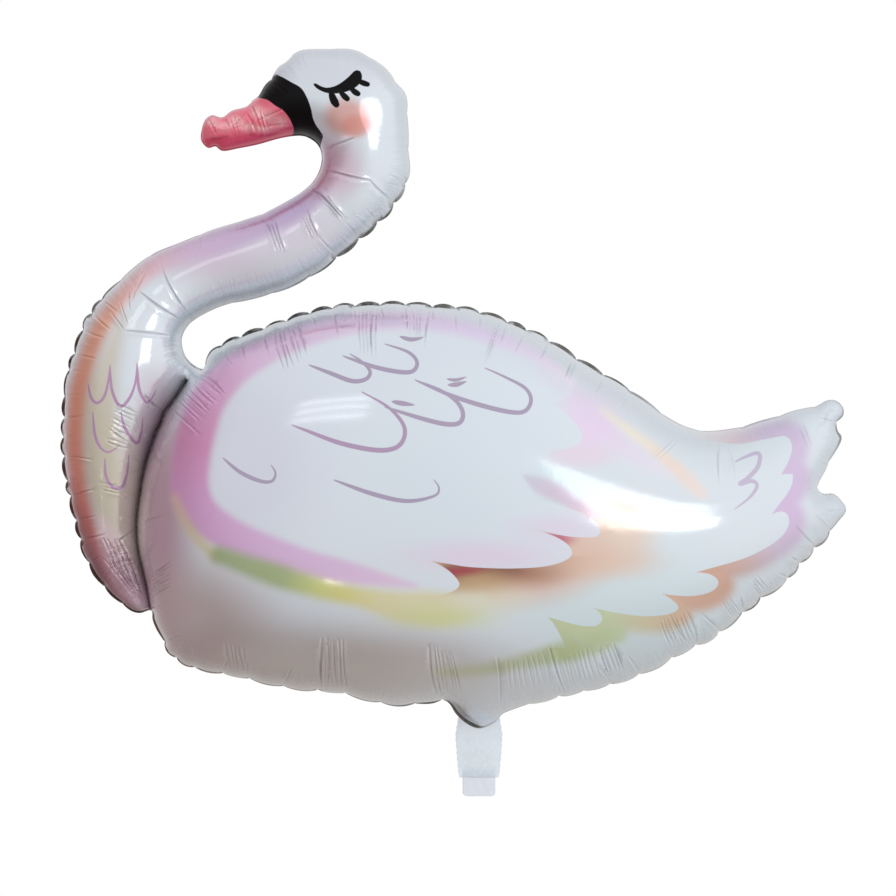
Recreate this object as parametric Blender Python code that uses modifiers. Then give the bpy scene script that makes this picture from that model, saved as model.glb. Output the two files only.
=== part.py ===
"""Swan foil balloon, upright, beak towards -X and tail towards +X.

Two printed films are welded round their edge and along one line between the neck and the body, and blown
up into two lobes. The welded edge stands proud all round as a flat, scalloped hem. A flat filling tail
hangs under the belly, with the end of the valve sleeve showing at its mouth. The origin is where the
ribbon is tied round the tail. Metres, +Z up.
"""

import math

import bmesh
import bpy
import numpy as np
from mathutils.geometry import delaunay_2d_cdt

# Driving dimensions.
SWAN_LENGTH = 0.850  # breast to tail tip, hem included
HEM_WIDTH = 0.0060  # flat welded edge outside the gas
HEM_THICKNESS = 0.0010  # both films at the weld, thick enough to be a solid
NECK_WELD_WIDTH = 0.0032  # flat land of the weld between the neck and the body
BELLY_LIMIT = 0.180  # the half thickness that a lobe of any width stays under
SCALLOP_PITCH = 0.036  # from one pinch of the hem to the next
SCALLOP_DEPTH = 0.0038
CREASE_HALF_WIDTH = 0.0035

TAIL_LENGTH = 0.046  # from the ribbon tie to the tail's open mouth
TAIL_SHOULDER = 0.0255  # half width just under the belly
TAIL_MOUTH = 0.0225  # half width at the mouth
TAIL_ROOT = 0.030  # how far the tail runs up into the belly
TAIL_THICKNESS = 0.0026
SLEEVE_WIDTH = 0.036
SLEEVE_THICKNESS = 0.0010
SLEEVE_SHOWS = 0.0205  # below the tail's mouth
SLEEVE_HIDDEN = 0.030  # inside the tail
FIT_GAP = 0.0003

EDGE_STEPS = 4  # outline points between two pinches of the hem
ROW_DEPTHS = (0.0022, 0.0075)  # rows of points inside the weld, where the film curves most
FIELD_STEP = 0.0200  # points in the open middle of a lobe

# Outlines are drawn on a grid, GRID_STEPS steps to the swan's length, x towards the tail and y downwards.
GRID_STEPS = 784.0
TIE = (479.0, 735.0)  # grid point of the ribbon tie

# Each run of the outline has its scallops' strength and its points, clockwise from the beak's tip.
OUTLINE_RUNS = (
    ("beak top", 0.0, ((201.5, 131), (205, 120), (212, 115), (222, 117), (232, 110), (245, 106), (252, 100))),
    ("brow", 0.2, ((259, 96), (266, 84), (272.5, 76), (279, 67), (286, 62), (293, 54), (303, 50))),
    ("crown", 0.2, ((318, 49), (338, 48.5), (354, 50), (370, 57), (386, 69), (398, 84), (406.5, 98))),
    ("nape", 0.5, ((408, 125), (409, 152), (409, 176), (402, 194), (389, 213), (373, 229), (355, 245))),
    ("neck underside", 0.3, ((336, 260), (311, 277), (281, 291), (250, 299.5), (222, 306))),
    ("neck crook", 0.0, ((203, 314.5), (190, 324), (183, 334), (181.5, 344), (185, 356), (193, 364.5), (203, 367.5))),
    ("shoulder", 0.6, ((206.5, 359), (213, 349), (228, 340), (250, 331), (274, 323), (300, 313.5))),
    ("back", 1.0, ((330, 306), (362, 303), (396, 302), (430, 304), (464, 307), (495, 315), (525, 327))),
    ("rump", 0.8, ((553, 341), (581, 359), (608, 375.5), (632, 390.5))),
    ("tail top", 0.0, ((652, 405), (672, 420), (690, 428), (711, 431), (735, 428), (762, 420.5), (792, 411.5))),
    ("tail tip", 0.0, ((816, 405.5), (826, 401), (835, 401), (842, 407), (843.5, 415), (838.5, 424), (838, 431), (841, 438))),
    ("tail fork", 0.0, ((836, 450), (827, 467), (820, 480), (819, 489), (824, 493.5), (833, 494), (840, 500), (845.5, 510))),
    ("tail underside", 0.9, ((838, 522), (827, 538), (813, 552), (800, 566), (785, 583), (763, 599), (740, 617))),
    ("belly aft", 0.6, ((714, 638), (685, 652), (657, 668), (628, 680), (598, 688.5), (566, 696), (534, 704))),
    ("filling neck", 0.0, ((512, 710), (502, 714), (494, 722), (480, 727.5), (467, 723), (456, 714), (446, 703))),
    ("belly fore", 0.6, ((428, 703), (400, 706), (370, 701.5), (338, 693), (304, 690.5), (270, 685), (238, 677))),
    ("breast", 0.6, ((208, 672), (185, 665), (168.5, 652.5), (160, 635), (153, 620))),
    ("neck foot", 0.0, ((150, 611.5), (139, 612.5), (128.5, 609), (115.5, 599), (102.5, 586))),
    ("neck front", 0.7, ((91, 570), (82, 550), (76, 528), (70, 503), (64.5, 477), (61.5, 450), (62, 420), (63.5, 392))),
    ("neck front top", 0.9, ((68, 367), (76, 343), (85, 320), (98, 301), (113, 286))),
    ("neck top", 0.1, ((131, 270), (152, 254), (178, 243.5), (208, 231), (240, 221.5), (270, 210), (296, 196))),
    ("throat", 0.0, ((311, 183), (319, 170), (321.5, 157), (318.5, 146), (310, 138.5), (299, 135.5))),
    ("beak underside", 0.0, ((280, 138), (258, 144), (238, 148), (223, 150.5), (215.5, 146), (208, 147.5), (201.5, 140.5))),
)

# The weld between the neck and the body, from the crook down to the foot of the neck.
NECK_WELD = ((186, 382), (178, 393), (167, 411), (158, 431), (150, 453), (144, 477), (140.5, 502),
             (139, 527), (140.5, 551), (145, 574), (149.5, 594), (151.5, 610))

# The long creases where a bend gathers the film, each with its two ends and its depth.
CREASES = (
    ("throat upper", (324, 171), (372, 181), 0.0022),
    ("throat middle", (316, 190), (345, 218), 0.0028),
    ("throat lower", (301, 208), (314, 238), 0.0022),
    ("cheek", (326, 150), (352, 140), 0.0020),
    ("neck top", (273, 221), (286, 248), 0.0018),
    ("crook upper", (190, 313), (162, 268), 0.0028),
    ("crook middle", (181, 321), (138, 292), 0.0028),
    ("crook lower", (172, 337), (124, 331), 0.0022),
    ("belly fore", (323, 684), (322, 642), 0.0022),
    ("belly at the filling neck", (438, 692), (431, 650), 0.0024),
    ("belly aft", (563, 690), (550, 650), 0.0024),
    ("rump below", (682, 643), (668, 617), 0.0020),
    ("tail below", (763, 589), (750, 576), 0.0016),
    ("back", (501, 330), (487, 366), 0.0018),
    ("breast", (142, 523), (159, 516), 0.0014),
)

COLOURS = {
    "film": (0.83, 0.84, 0.88, 1.0),
    "sleeve": (0.86, 0.90, 0.95, 1.0),
}


def placed(points):
    """Grid points as x and z in metres from the ribbon tie."""
    step = SWAN_LENGTH / GRID_STEPS
    grid = np.array(points, float)
    return np.column_stack([(grid[:, 0] - TIE[0]) * step, (TIE[1] - grid[:, 1]) * step])


def smooth_line(points, per_span, closed):
    """Points along the smooth curve through the given ones, which may carry further columns."""
    count = len(points)
    found = []
    for i in range(count if closed else count - 1):
        if closed:
            p0, p1, p2, p3 = (points[(i + k) % count] for k in (-1, 0, 1, 2))
        else:
            p0, p1, p2, p3 = (points[min(max(i + k, 0), count - 1)] for k in (-1, 0, 1, 2))
        for t in np.arange(per_span) / per_span:
            found.append(p1 + 0.5 * t * (p2 - p0 + t * (2 * p0 - 5 * p1 + 4 * p2 - p3
                                                       + t * (3 * (p1 - p2) + p3 - p0))))
    if not closed:
        found.append(points[-1])
    return np.array(found)


def even_steps(line, count, closed):
    """count points at equal steps along a line."""
    loop = np.vstack([line, line[:1]]) if closed else line
    run = np.concatenate([[0.0], np.cumsum(np.hypot(*np.diff(loop[:, :2], axis=0).T))])
    wanted = np.linspace(0.0, run[-1], count + 1 if closed else count)[:count]
    return np.column_stack([np.interp(wanted, run, column) for column in loop.T])


def length_of(line, closed):
    loop = np.vstack([line, line[:1]]) if closed else line
    return np.hypot(*np.diff(loop[:, :2], axis=0).T).sum()


def normals_of(line, closed):
    """Unit normals to the right of a line, which is the inner side of a clockwise outline."""
    if closed:
        along = np.roll(line, -1, axis=0) - np.roll(line, 1, axis=0)
    else:
        along = np.gradient(line, axis=0)
    along = along[:, :2] / np.hypot(*along[:, :2].T)[:, None]
    return np.column_stack([along[:, 1], -along[:, 0]])


def distance_to(points, line, closed):
    """The distance from each point to a line of straight pieces."""
    loop = np.vstack([line, line[:1]]) if closed else line
    start, span = loop[:-1, :2], np.diff(loop[:, :2], axis=0)
    away = points[:, None, :] - start[None]
    share = np.clip((away * span).sum(2) / (span**2).sum(1), 0.0, 1.0)
    return np.hypot(*np.moveaxis(away - share[..., None] * span, 2, 0)).min(1)


def inside(points, line):
    """Whether each point lies inside a closed line."""
    x, z = points[:, 0, None], points[:, 1, None]
    x0, z0 = line[:, 0], line[:, 1]
    x1, z1 = np.roll(x0, -1), np.roll(z0, -1)
    crosses = ((z0 > z) != (z1 > z)) & (x < (x1 - x0) * (z - z0) / np.where(z1 == z0, 1.0, z1 - z0) + x0)
    return crosses.sum(1) % 2 == 1


def scalloped_outline():
    """The hem's cut edge: the smooth outline, drawn in at each pinch of the weld."""
    grid = np.array([(x, y, strength) for _, strength, run in OUTLINE_RUNS for x, y in run], float)
    control = np.column_stack([placed(grid[:, :2]), grid[:, 2]])
    line = smooth_line(control, 8, True)
    scallops = round(length_of(line, True) / SCALLOP_PITCH)
    line = even_steps(line, scallops * EDGE_STEPS, True)
    phase = np.arange(len(line)) / EDGE_STEPS * math.pi
    drawn_in = SCALLOP_DEPTH * np.clip(line[:, 2], 0.0, 1.0) * (1.0 - np.abs(np.sin(phase)) ** 0.7)
    return line[:, :2] + normals_of(line, True) * drawn_in[:, None]


def rows_inside(line, closed, depths, keep):
    """Points in rows beside a line, without those that another stretch of it comes too close to."""
    normals = normals_of(line, closed)
    rows = [line[:, :2] + normals * depth for depth in depths]
    return [row[keep(row, abs(depth))] for row, depth in zip(rows, depths)]


def crease_rows(crease):
    """The bottom row of a crease, then its two shoulder rows, and how deep the bottom is."""
    _, start, end, depth = crease
    ends = placed([start, end])
    count = max(3, round(length_of(ends, False) / (2.2 * CREASE_HALF_WIDTH)))
    bottom = even_steps(ends, count, False)
    side = normals_of(bottom, False) * CREASE_HALF_WIDTH
    fade = np.sin(np.linspace(0.15, 0.9, count) * math.pi)
    return bottom, np.vstack([bottom + side, bottom - side]), depth * fade


def blown_height(points, triangles, free):
    """How far the gas lifts each point: a film under even pressure, held wherever it isn't free."""
    count = len(points)
    stiffness, load = np.zeros((count, count)), np.zeros(count)
    for k in range(3):
        a, b, c = (triangles[:, (k + j) % 3] for j in range(3))
        u, v = points[b] - points[a], points[c] - points[a]
        twice_area = np.abs(u[:, 0] * v[:, 1] - u[:, 1] * v[:, 0])
        weight = 0.5 * (u * v).sum(1) / twice_area
        for i, j, sign in ((b, c, -1), (c, b, -1), (b, b, 1), (c, c, 1)):
            np.add.at(stiffness, (i, j), sign * weight)
        np.add.at(load, a, twice_area / 6.0)
    lift = np.zeros(count)
    lift[free] = np.linalg.solve(stiffness[np.ix_(free, free)], load[free])
    round_height = np.sqrt(np.maximum(2.0 * lift, 0.0))
    return round_height / np.sqrt(1.0 + (round_height / BELLY_LIMIT) ** 2)


def film_points(outline):
    """All points of the front film in its flat plan, and the creases' depth at each."""
    weld = smooth_line(placed(NECK_WELD), 8, False)
    weld = even_steps(weld, round(length_of(weld, False) / (SCALLOP_PITCH / EDGE_STEPS)), False)
    half_weld = NECK_WELD_WIDTH / 2

    def clear_of_edge(points, depth):
        return inside(points, outline) & (distance_to(points, outline, True) > depth - 1e-5)

    def keep_by_edge(points, depth):
        near_edge = distance_to(points, outline, True) > depth * 0.97
        return inside(points, outline) & near_edge & (distance_to(points, weld, False) > half_weld + 0.004)

    def keep_by_weld(points, depth):
        near_weld = distance_to(points, weld, False) > depth * 0.97
        return clear_of_edge(points, HEM_WIDTH + 0.003) & near_weld

    edge_depths = [HEM_WIDTH] + [HEM_WIDTH + depth for depth in ROW_DEPTHS]
    weld_depths = [half_weld] + [half_weld + depth for depth in ROW_DEPTHS]
    rows = rows_inside(outline, True, edge_depths, keep_by_edge)
    rows += rows_inside(weld, False, weld_depths, keep_by_weld)
    rows += rows_inside(weld, False, [-depth for depth in weld_depths], keep_by_weld)

    creases = [crease_rows(crease) for crease in CREASES]
    bottoms = np.vstack([bottom for bottom, _, _ in creases])
    shoulders = np.vstack([shoulder for _, shoulder, _ in creases])
    crease_points = np.vstack([bottoms, shoulders])

    low, high = outline.min(0), outline.max(0)
    columns, lines = np.meshgrid(np.arange(low[0], high[0], FIELD_STEP),
                                 np.arange(low[1], high[1], FIELD_STEP * math.sqrt(0.75)))
    columns[1::2] += FIELD_STEP / 2
    field = np.column_stack([columns.ravel(), lines.ravel()])
    clearance = ROW_DEPTHS[-1] + 0.55 * FIELD_STEP
    field = field[clear_of_edge(field, HEM_WIDTH + clearance)]
    field = field[distance_to(field, weld, False) > half_weld + clearance]

    def away_from_creases(points, gap):
        return np.hypot(*np.moveaxis(points[:, None] - crease_points[None], 2, 0)).min(1) > gap

    field = field[away_from_creases(field, 0.5 * FIELD_STEP)]
    rows = [rows[0]] + [row[away_from_creases(row, 0.004)] for row in rows[1:]]
    points = np.vstack([outline] + rows + [bottoms, shoulders, field])
    depths = np.zeros(len(points))
    first = len(outline) + sum(len(row) for row in rows)
    depths[first:first + len(bottoms)] = np.concatenate([depth for _, _, depth in creases])
    held = (distance_to(points, outline, True) < HEM_WIDTH * 1.02) | \
        (distance_to(points, weld, False) < half_weld * 1.05)
    return points, depths, ~held


def material(name, colour, roughness, metallic):
    made = bpy.data.materials.new(name)
    made.use_nodes = True
    shader = made.node_tree.nodes["Principled BSDF"]
    shader.inputs["Base Color"].default_value = colour
    shader.inputs["Roughness"].default_value = roughness
    shader.inputs["Metallic"].default_value = metallic
    return made


def add_object(name, mesh, collection, finish=None):
    made = bpy.data.objects.new(name, mesh)
    collection.objects.link(made)
    if finish:
        mesh.materials.append(finish)
    return made


def blown_swan(collection, finish):
    """The front film with half of the hem's thickness, mirrored to the back film."""
    outline = scalloped_outline()
    points, depths, free = film_points(outline)
    edge = list(range(len(outline)))
    verts, _, faces, origins, _, _ = delaunay_2d_cdt([tuple(p) for p in points], [], [edge[::-1]], 1, 1e-6)
    plan = np.array([tuple(v) for v in verts])
    source = np.array([ids[0] if ids else -1 for ids in origins])
    triangles = np.array([tuple(face) for face in faces])
    height = blown_height(plan, triangles, free[source])
    height = np.maximum(height - depths[source], 0.0) + HEM_THICKNESS / 2

    sheet = bmesh.new()
    front = [sheet.verts.new((x, -lift, z)) for (x, z), lift in zip(plan, height)]
    for triangle in triangles:
        sheet.faces.new([front[i] for i in triangle])
    rim = [e for e in sheet.edges if e.is_boundary]
    wall = bmesh.ops.extrude_edge_only(sheet, edges=rim)
    for vert in (g for g in wall["geom"] if isinstance(g, bmesh.types.BMVert)):
        vert.co.y = 0.0
    bmesh.ops.recalc_face_normals(sheet, faces=sheet.faces)
    if sum(f.normal.y * f.calc_area() for f in sheet.faces) > 0:
        bmesh.ops.reverse_faces(sheet, faces=sheet.faces)
    mesh = bpy.data.meshes.new("swan_balloon")
    sheet.to_mesh(mesh)
    sheet.free()

    swan = add_object("swan_balloon", mesh, collection, finish)
    mirror = swan.modifiers.new("back_film", "MIRROR")
    mirror.use_axis = (False, True, False)
    mirror.merge_threshold = 0.0001
    return swan


def flat_plate(name, half_widths, thickness, collection, finish=None):
    """A plate in the swan's plane, from (z, half width) pairs down its right side."""
    outline = [(w, z) for z, w in half_widths] + [(-w, z) for z, w in reversed(half_widths)]
    plate = bmesh.new()
    corners = [plate.verts.new((x, -thickness / 2, z)) for x, z in outline]
    face = plate.faces.new(corners)
    swept = bmesh.ops.extrude_face_region(plate, geom=[face])
    for vert in (g for g in swept["geom"] if isinstance(g, bmesh.types.BMVert)):
        vert.co.y = thickness / 2
    bmesh.ops.recalc_face_normals(plate, faces=plate.faces)
    mesh = bpy.data.meshes.new(name)
    plate.to_mesh(mesh)
    plate.free()
    return add_object(name, mesh, collection, finish)


def helper(made):
    """Marks an object as a cutter or a joined shape, which isn't a piece of the swan."""
    made.hide_render = True
    made.display_type = "WIRE"
    return made


def boolean(target, name, operation, other):
    modifier = target.modifiers.new(name, "BOOLEAN")
    modifier.operation = operation
    modifier.object = other
    modifier.solver = "EXACT"


def filling_tail(swan, helpers):
    """Joins the flat tail to the belly and opens the pocket that holds the valve sleeve."""
    shoulder_z = 0.35 * TAIL_ROOT
    tail = helper(flat_plate("tail_shape", (
        (TAIL_ROOT, 0.80 * TAIL_SHOULDER),
        (shoulder_z, 0.92 * TAIL_SHOULDER),
        (0.0, TAIL_SHOULDER),
        (-0.45 * TAIL_LENGTH, 0.5 * (TAIL_SHOULDER + TAIL_MOUTH)),
        (-0.85 * TAIL_LENGTH, TAIL_MOUTH),
        (-TAIL_LENGTH, 0.94 * TAIL_MOUTH),
    ), TAIL_THICKNESS, helpers))
    pocket_half = SLEEVE_WIDTH / 2 + FIT_GAP
    pocket = helper(flat_plate("sleeve_pocket", (
        (-TAIL_LENGTH + SLEEVE_HIDDEN + FIT_GAP, pocket_half),
        (-TAIL_LENGTH - SLEEVE_SHOWS, pocket_half),
    ), SLEEVE_THICKNESS + 2 * FIT_GAP, helpers))
    boolean(swan, "tail", "UNION", tail)
    boolean(swan, "pocket", "DIFFERENCE", pocket)


def valve_sleeve(collection, finish):
    """The flat film sleeve of the valve, with its corners rounded by two cuts."""
    half = SLEEVE_WIDTH / 2
    top, bottom = -TAIL_LENGTH + SLEEVE_HIDDEN, -TAIL_LENGTH - SLEEVE_SHOWS
    corner = 0.14 * SLEEVE_WIDTH
    return flat_plate("valve_sleeve", (
        (top, half),
        (bottom + corner, half),
        (bottom + 0.3 * corner, half - 0.3 * corner),
        (bottom, half - corner),
    ), SLEEVE_THICKNESS, collection, finish)


def main():
    for old in list(bpy.data.objects):
        bpy.data.objects.remove(old, do_unlink=True)
    scene = bpy.context.scene.collection
    parts = bpy.data.collections.new("swan_foil_balloon")
    helpers = bpy.data.collections.new("helpers")
    scene.children.link(parts)
    scene.children.link(helpers)
    film = material("printed_film", COLOURS["film"], 0.25, 0.1)
    sleeve_film = material("sleeve_film", COLOURS["sleeve"], 0.3, 0.0)
    swan = blown_swan(parts, film)
    filling_tail(swan, helpers)
    valve_sleeve(parts, sleeve_film)


main()
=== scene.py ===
import math

import bpy
import numpy as np
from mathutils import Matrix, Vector
from mathutils.geometry import delaunay_2d_cdt
from mathutils.kdtree import KDTree


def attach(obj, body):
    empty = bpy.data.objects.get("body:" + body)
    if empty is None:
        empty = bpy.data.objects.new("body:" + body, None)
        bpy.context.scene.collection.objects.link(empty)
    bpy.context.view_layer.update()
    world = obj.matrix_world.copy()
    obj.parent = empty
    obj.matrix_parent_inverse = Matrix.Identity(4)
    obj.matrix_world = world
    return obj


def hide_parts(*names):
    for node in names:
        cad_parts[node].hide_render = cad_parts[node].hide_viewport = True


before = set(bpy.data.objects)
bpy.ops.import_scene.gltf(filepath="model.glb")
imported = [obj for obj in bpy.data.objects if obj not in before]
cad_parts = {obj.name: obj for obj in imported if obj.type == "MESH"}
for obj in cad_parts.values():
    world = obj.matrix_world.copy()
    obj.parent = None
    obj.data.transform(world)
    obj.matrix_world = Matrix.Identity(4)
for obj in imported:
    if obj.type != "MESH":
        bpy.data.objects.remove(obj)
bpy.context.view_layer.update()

# The cut line of the two films. They are laid flat on each other, welded near the edge and cut along it,
# and the weld is then pinched into scallops as the gas draws it in. Points lie on a grid with GRID_STEPS
# to the swan's length, x towards the tail and y downwards, as the photograph shows the swan.

SWAN_LENGTH = 0.850
GRID_STEPS = 784.0
STEP = SWAN_LENGTH / GRID_STEPS
TIE = np.array((479.0, 735.0))  # grid point of the ribbon tie, the part's origin
EDGE_SPACING = 0.0021
SPAN_STEPS = 24  # short straights between two points of a smooth curve, before it is divided evenly

OUTLINE = (
    (201.5, 131), (205, 120), (212, 115), (222, 117), (232, 110), (245, 106), (252, 100), (259, 96),
    (266, 84), (272.5, 76), (279, 67), (286, 62), (293, 54), (303, 50), (318, 49), (338, 48.5), (354, 50),
    (370, 57), (386, 69), (398, 84), (406.5, 98), (408, 125), (409, 152), (409, 176), (402, 194),
    (389, 213), (373, 229), (355, 245), (336, 260), (311, 277), (281, 291), (250, 299.5), (222, 306),
    (203, 314.5), (190, 324), (183, 334), (181.5, 344), (185, 356), (193, 364.5), (203, 367.5),
    (206.5, 359), (213, 349), (228, 340), (250, 331), (274, 323), (300, 313.5), (330, 306), (362, 303),
    (396, 302), (430, 304), (464, 307), (495, 315), (525, 327), (553, 341), (581, 359), (608, 375.5),
    (632, 390.5), (652, 405), (672, 420), (690, 428), (711, 431), (735, 428), (762, 420.5), (792, 411.5),
    (816, 405.5), (826, 401), (835, 401), (842, 407), (843.5, 415), (838.5, 424), (838, 431), (841, 438),
    (836, 450), (827, 467), (820, 480), (819, 489), (824, 493.5), (833, 494), (840, 500), (845.5, 510),
    (838, 522), (827, 538), (813, 552), (800, 566), (785, 583), (763, 599), (740, 617), (714, 638),
    (685, 652), (657, 668), (628, 680), (598, 688.5), (566, 696), (534, 704), (512, 710), (502, 714),
    (494, 722), (480, 727.5), (467, 723), (456, 714), (446, 703), (428, 703), (400, 706), (370, 701.5),
    (338, 693), (304, 690.5), (270, 685), (238, 677), (208, 672), (185, 665), (168.5, 652.5), (160, 635),
    (153, 620), (150, 611.5), (139, 612.5), (128.5, 609), (115.5, 599), (102.5, 586), (91, 570),
    (82, 550), (76, 528), (70, 503), (64.5, 477), (61.5, 450), (62, 420), (63.5, 392), (68, 367),
    (76, 343), (85, 320), (98, 301), (113, 286), (131, 270), (152, 254), (178, 243.5), (208, 231),
    (240, 221.5), (270, 210), (296, 196), (311, 183), (319, 170), (321.5, 157), (318.5, 146),
    (310, 138.5), (299, 135.5), (280, 138), (258, 144), (238, 148), (223, 150.5), (215.5, 146),
    (208, 147.5), (201.5, 140.5),
)

# Where the gas pinches the weld, each with how strongly, clockwise from the brow.
PINCHES = (
    (251, 101, 0.5), (272, 79, 0.5), (290, 56, 0.3), (330, 48.5, 0.15), (369, 57, 0.3), (396, 80, 0.4),
    (408, 112, 0.3), (409, 150, 0.3), (407, 185, 0.7), (396, 204, 1.0), (377, 222, 1.0), (359, 240, 1.0),
    (338, 258, 0.8), (309, 278, 0.4), (272, 294, 0.3), (232, 304, 0.2), (190, 324, 0.2), (203, 367, 0.5),
    (221, 344, 0.7), (240, 336, 1.0), (264, 326, 1.0), (286, 320, 1.0), (309, 312, 1.0), (332, 306, 1.0),
    (355, 303.5, 1.0), (381, 302, 1.0), (406, 302, 0.9), (432, 304, 1.0), (455, 307, 0.8),
    (480, 311, 1.0), (507, 320, 1.0), (527, 328, 0.9), (550, 340, 1.0), (577, 357, 1.0), (604, 373, 0.7),
    (630, 389, 0.5), (662, 413, 0.3), (700, 430, 0.2), (742, 427, 0.3), (780, 415, 0.3), (815, 406, 0.3),
    (838.5, 424, 1.0), (830, 462, 0.4), (819, 486, 0.5), (831, 533, 0.7), (816, 549, 1.0),
    (801, 565, 1.0), (788, 580, 0.8), (763, 599, 1.0), (743, 614, 0.9), (720, 633, 1.0), (697, 646, 0.8),
    (672, 659, 0.8), (640, 675, 0.7), (610, 685, 0.6), (583, 692, 0.5), (560, 697.5, 0.7),
    (530, 705, 0.5), (443, 702, 1.0), (415, 705, 0.5), (380, 703, 0.6), (345, 695, 0.6),
    (318, 691.5, 0.7), (284, 688, 0.6), (250, 680, 0.6), (222, 674, 0.5), (195, 669, 0.6),
    (176, 659, 0.7), (163, 643, 0.7), (151, 612, 0.6), (122, 604, 0.4), (104, 587, 0.5), (88, 563, 0.7),
    (79, 540, 0.9), (74, 520, 0.9), (69, 497, 1.0), (66, 480, 0.8), (62, 457, 1.0), (61.5, 436, 0.8),
    (62, 417, 1.0), (63, 396, 0.5), (68, 370, 0.7), (74, 353, 1.0), (82, 330, 0.9), (89, 312, 0.9),
    (100, 298, 0.6), (120, 279, 0.3), (150, 255, 0.2), (200, 234, 0.2), (262, 213, 0.3), (310, 184, 0.2),
)

# How much of the hem is left as bare foil, 0 where it is trimmed close and printed.
HEM_TONES = (
    (201.5, 131, 0.1), (286, 62, 0.1), (338, 48.5, 0.0), (406, 98, 0.0), (409, 176, 0.1), (402, 194, 0.5),
    (389, 213, 0.8), (336, 260, 0.8), (311, 277, 0.3), (281, 291, 0.1), (203, 314, 0.0), (183, 334, 0.0),
    (203, 367, 0.3), (213, 349, 0.6), (228, 340, 1.0), (581, 359, 1.0), (608, 375, 0.9), (632, 390, 0.6),
    (652, 405, 0.3), (690, 428, 0.1), (762, 420, 0.2), (826, 401, 0.1), (842, 407, 0.2), (838, 424, 0.7),
    (836, 450, 0.3), (819, 489, 0.1), (845, 510, 0.1), (838, 522, 0.3), (813, 552, 0.6), (785, 583, 0.3),
    (763, 599, 0.7), (740, 617, 0.5), (714, 638, 0.1), (657, 668, 0.2), (566, 696, 0.1), (512, 710, 0.1),
    (494, 722, 0.1), (484, 726.5, 0.2), (478, 726.5, 0.7), (467, 723, 1.0), (456, 714, 1.0),
    (446, 703, 0.9), (428, 703, 0.8), (400, 706, 0.5), (370, 701, 0.2), (304, 690, 0.2), (208, 672, 0.3),
    (168, 652, 0.6), (153, 620, 0.6), (150, 611, 0.7), (115, 599, 0.8), (82, 550, 0.85), (64, 477, 0.8),
    (62, 420, 0.75), (68, 367, 0.85), (98, 301, 0.6), (131, 270, 0.3), (178, 243, 0.1), (240, 221, 0.0),
    (311, 183, 0.1), (321, 157, 0.1), (299, 135, 0.1),
)

HEM_WIDE = 0.0038  # the flat weld between two pinches
HEM_PINCHED = 0.0011
HEM_NARROW = 0.0010  # where the printed films are trimmed close
HEM_CURL = 0.0011  # how far the close trimmed edge curls back
HEM_FILL = 1.1  # a tone of about 0.9 already gives the full width
HEM_SHARE, HEM_SWING, HEM_TURN = 0.82, 0.28, 2.3  # how the width differs from one scallop to the next
SCALLOP_OUT = 0.0014  # how far a scallop bulges past the outline
SCALLOP_IN = 0.0030  # how far a pinch is drawn in
SCALLOP_POWER = 0.65  # under 1 a scallop is fuller than a sine's arch
CLEAR_SHARE = 0.93  # an offset line is dropped where another stretch comes nearer than this share


def placed(points):
    """Grid points as x and z in metres from the ribbon tie."""
    return (np.asarray(points, float)[:, :2] - TIE) * (STEP, -STEP)


def smooth_line(points, spacing, closed=False):
    """Even steps along the smooth curve through the points, whose further columns go along."""
    points = np.asarray(points, float)
    count = len(points)
    spans = []
    for i in range(count if closed else count - 1):
        near = [(i + k) % count if closed else min(max(i + k, 0), count - 1) for k in (-1, 0, 1, 2)]
        p0, p1, p2, p3 = points[near]
        t = np.linspace(0, 1, SPAN_STEPS, endpoint=False)[:, None]
        spans.append(p1 + 0.5 * t * (p2 - p0 + t * (2 * p0 - 5 * p1 + 4 * p2 - p3
                                                   + t * (3 * (p1 - p2) + p3 - p0))))
    line = np.vstack(spans + [points[:1] if closed else points[-1:]])
    run = np.concatenate([[0.0], np.cumsum(np.hypot(*np.diff(line[:, :2], axis=0).T))])
    steps = max(2, round(run[-1] / spacing))
    wanted = np.linspace(0, run[-1], steps + 1)[:steps if closed else steps + 1]
    return np.column_stack([np.interp(wanted, run, column) for column in line.T])


def inward(line, closed=True):
    """Unit normals to the right of a line: the inner side of a clockwise outline."""
    along = np.roll(line, -1, 0) - np.roll(line, 1, 0) if closed else np.gradient(line, axis=0)
    along = along[:, :2] / np.hypot(*along[:, :2].T)[:, None]
    return np.column_stack([along[:, 1], -along[:, 0]])


def tree_of(points):
    tree = KDTree(len(points))
    for i, (x, z) in enumerate(points[:, :2]):
        tree.insert((x, z, 0), i)
    tree.balance()
    return tree


def nearest(tree, points):
    """The index of, and the distance to, the tree's nearest point for each of the points."""
    found = [tree.find((x, z, 0))[1:] for x, z in points[:, :2]]
    return np.array([i for i, _ in found], int), np.array([d for _, d in found])


class Ring:
    """A closed line of short even steps."""

    def __init__(self, points):
        self.points = points
        self.tree = tree_of(points)

    def near(self, where):
        """The distance to the line and the index of the nearest step."""
        index, _ = nearest(self.tree, where)
        best = np.full(len(where), np.inf)
        for start in (index - 1, index):
            a, b = self.points[start % len(self.points)], self.points[(start + 1) % len(self.points)]
            share = np.clip(((where - a) * (b - a)).sum(1) / ((b - a) ** 2).sum(1), 0, 1)[:, None]
            best = np.minimum(best, np.hypot(*(where - a - share * (b - a)).T))
        return best, index


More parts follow.
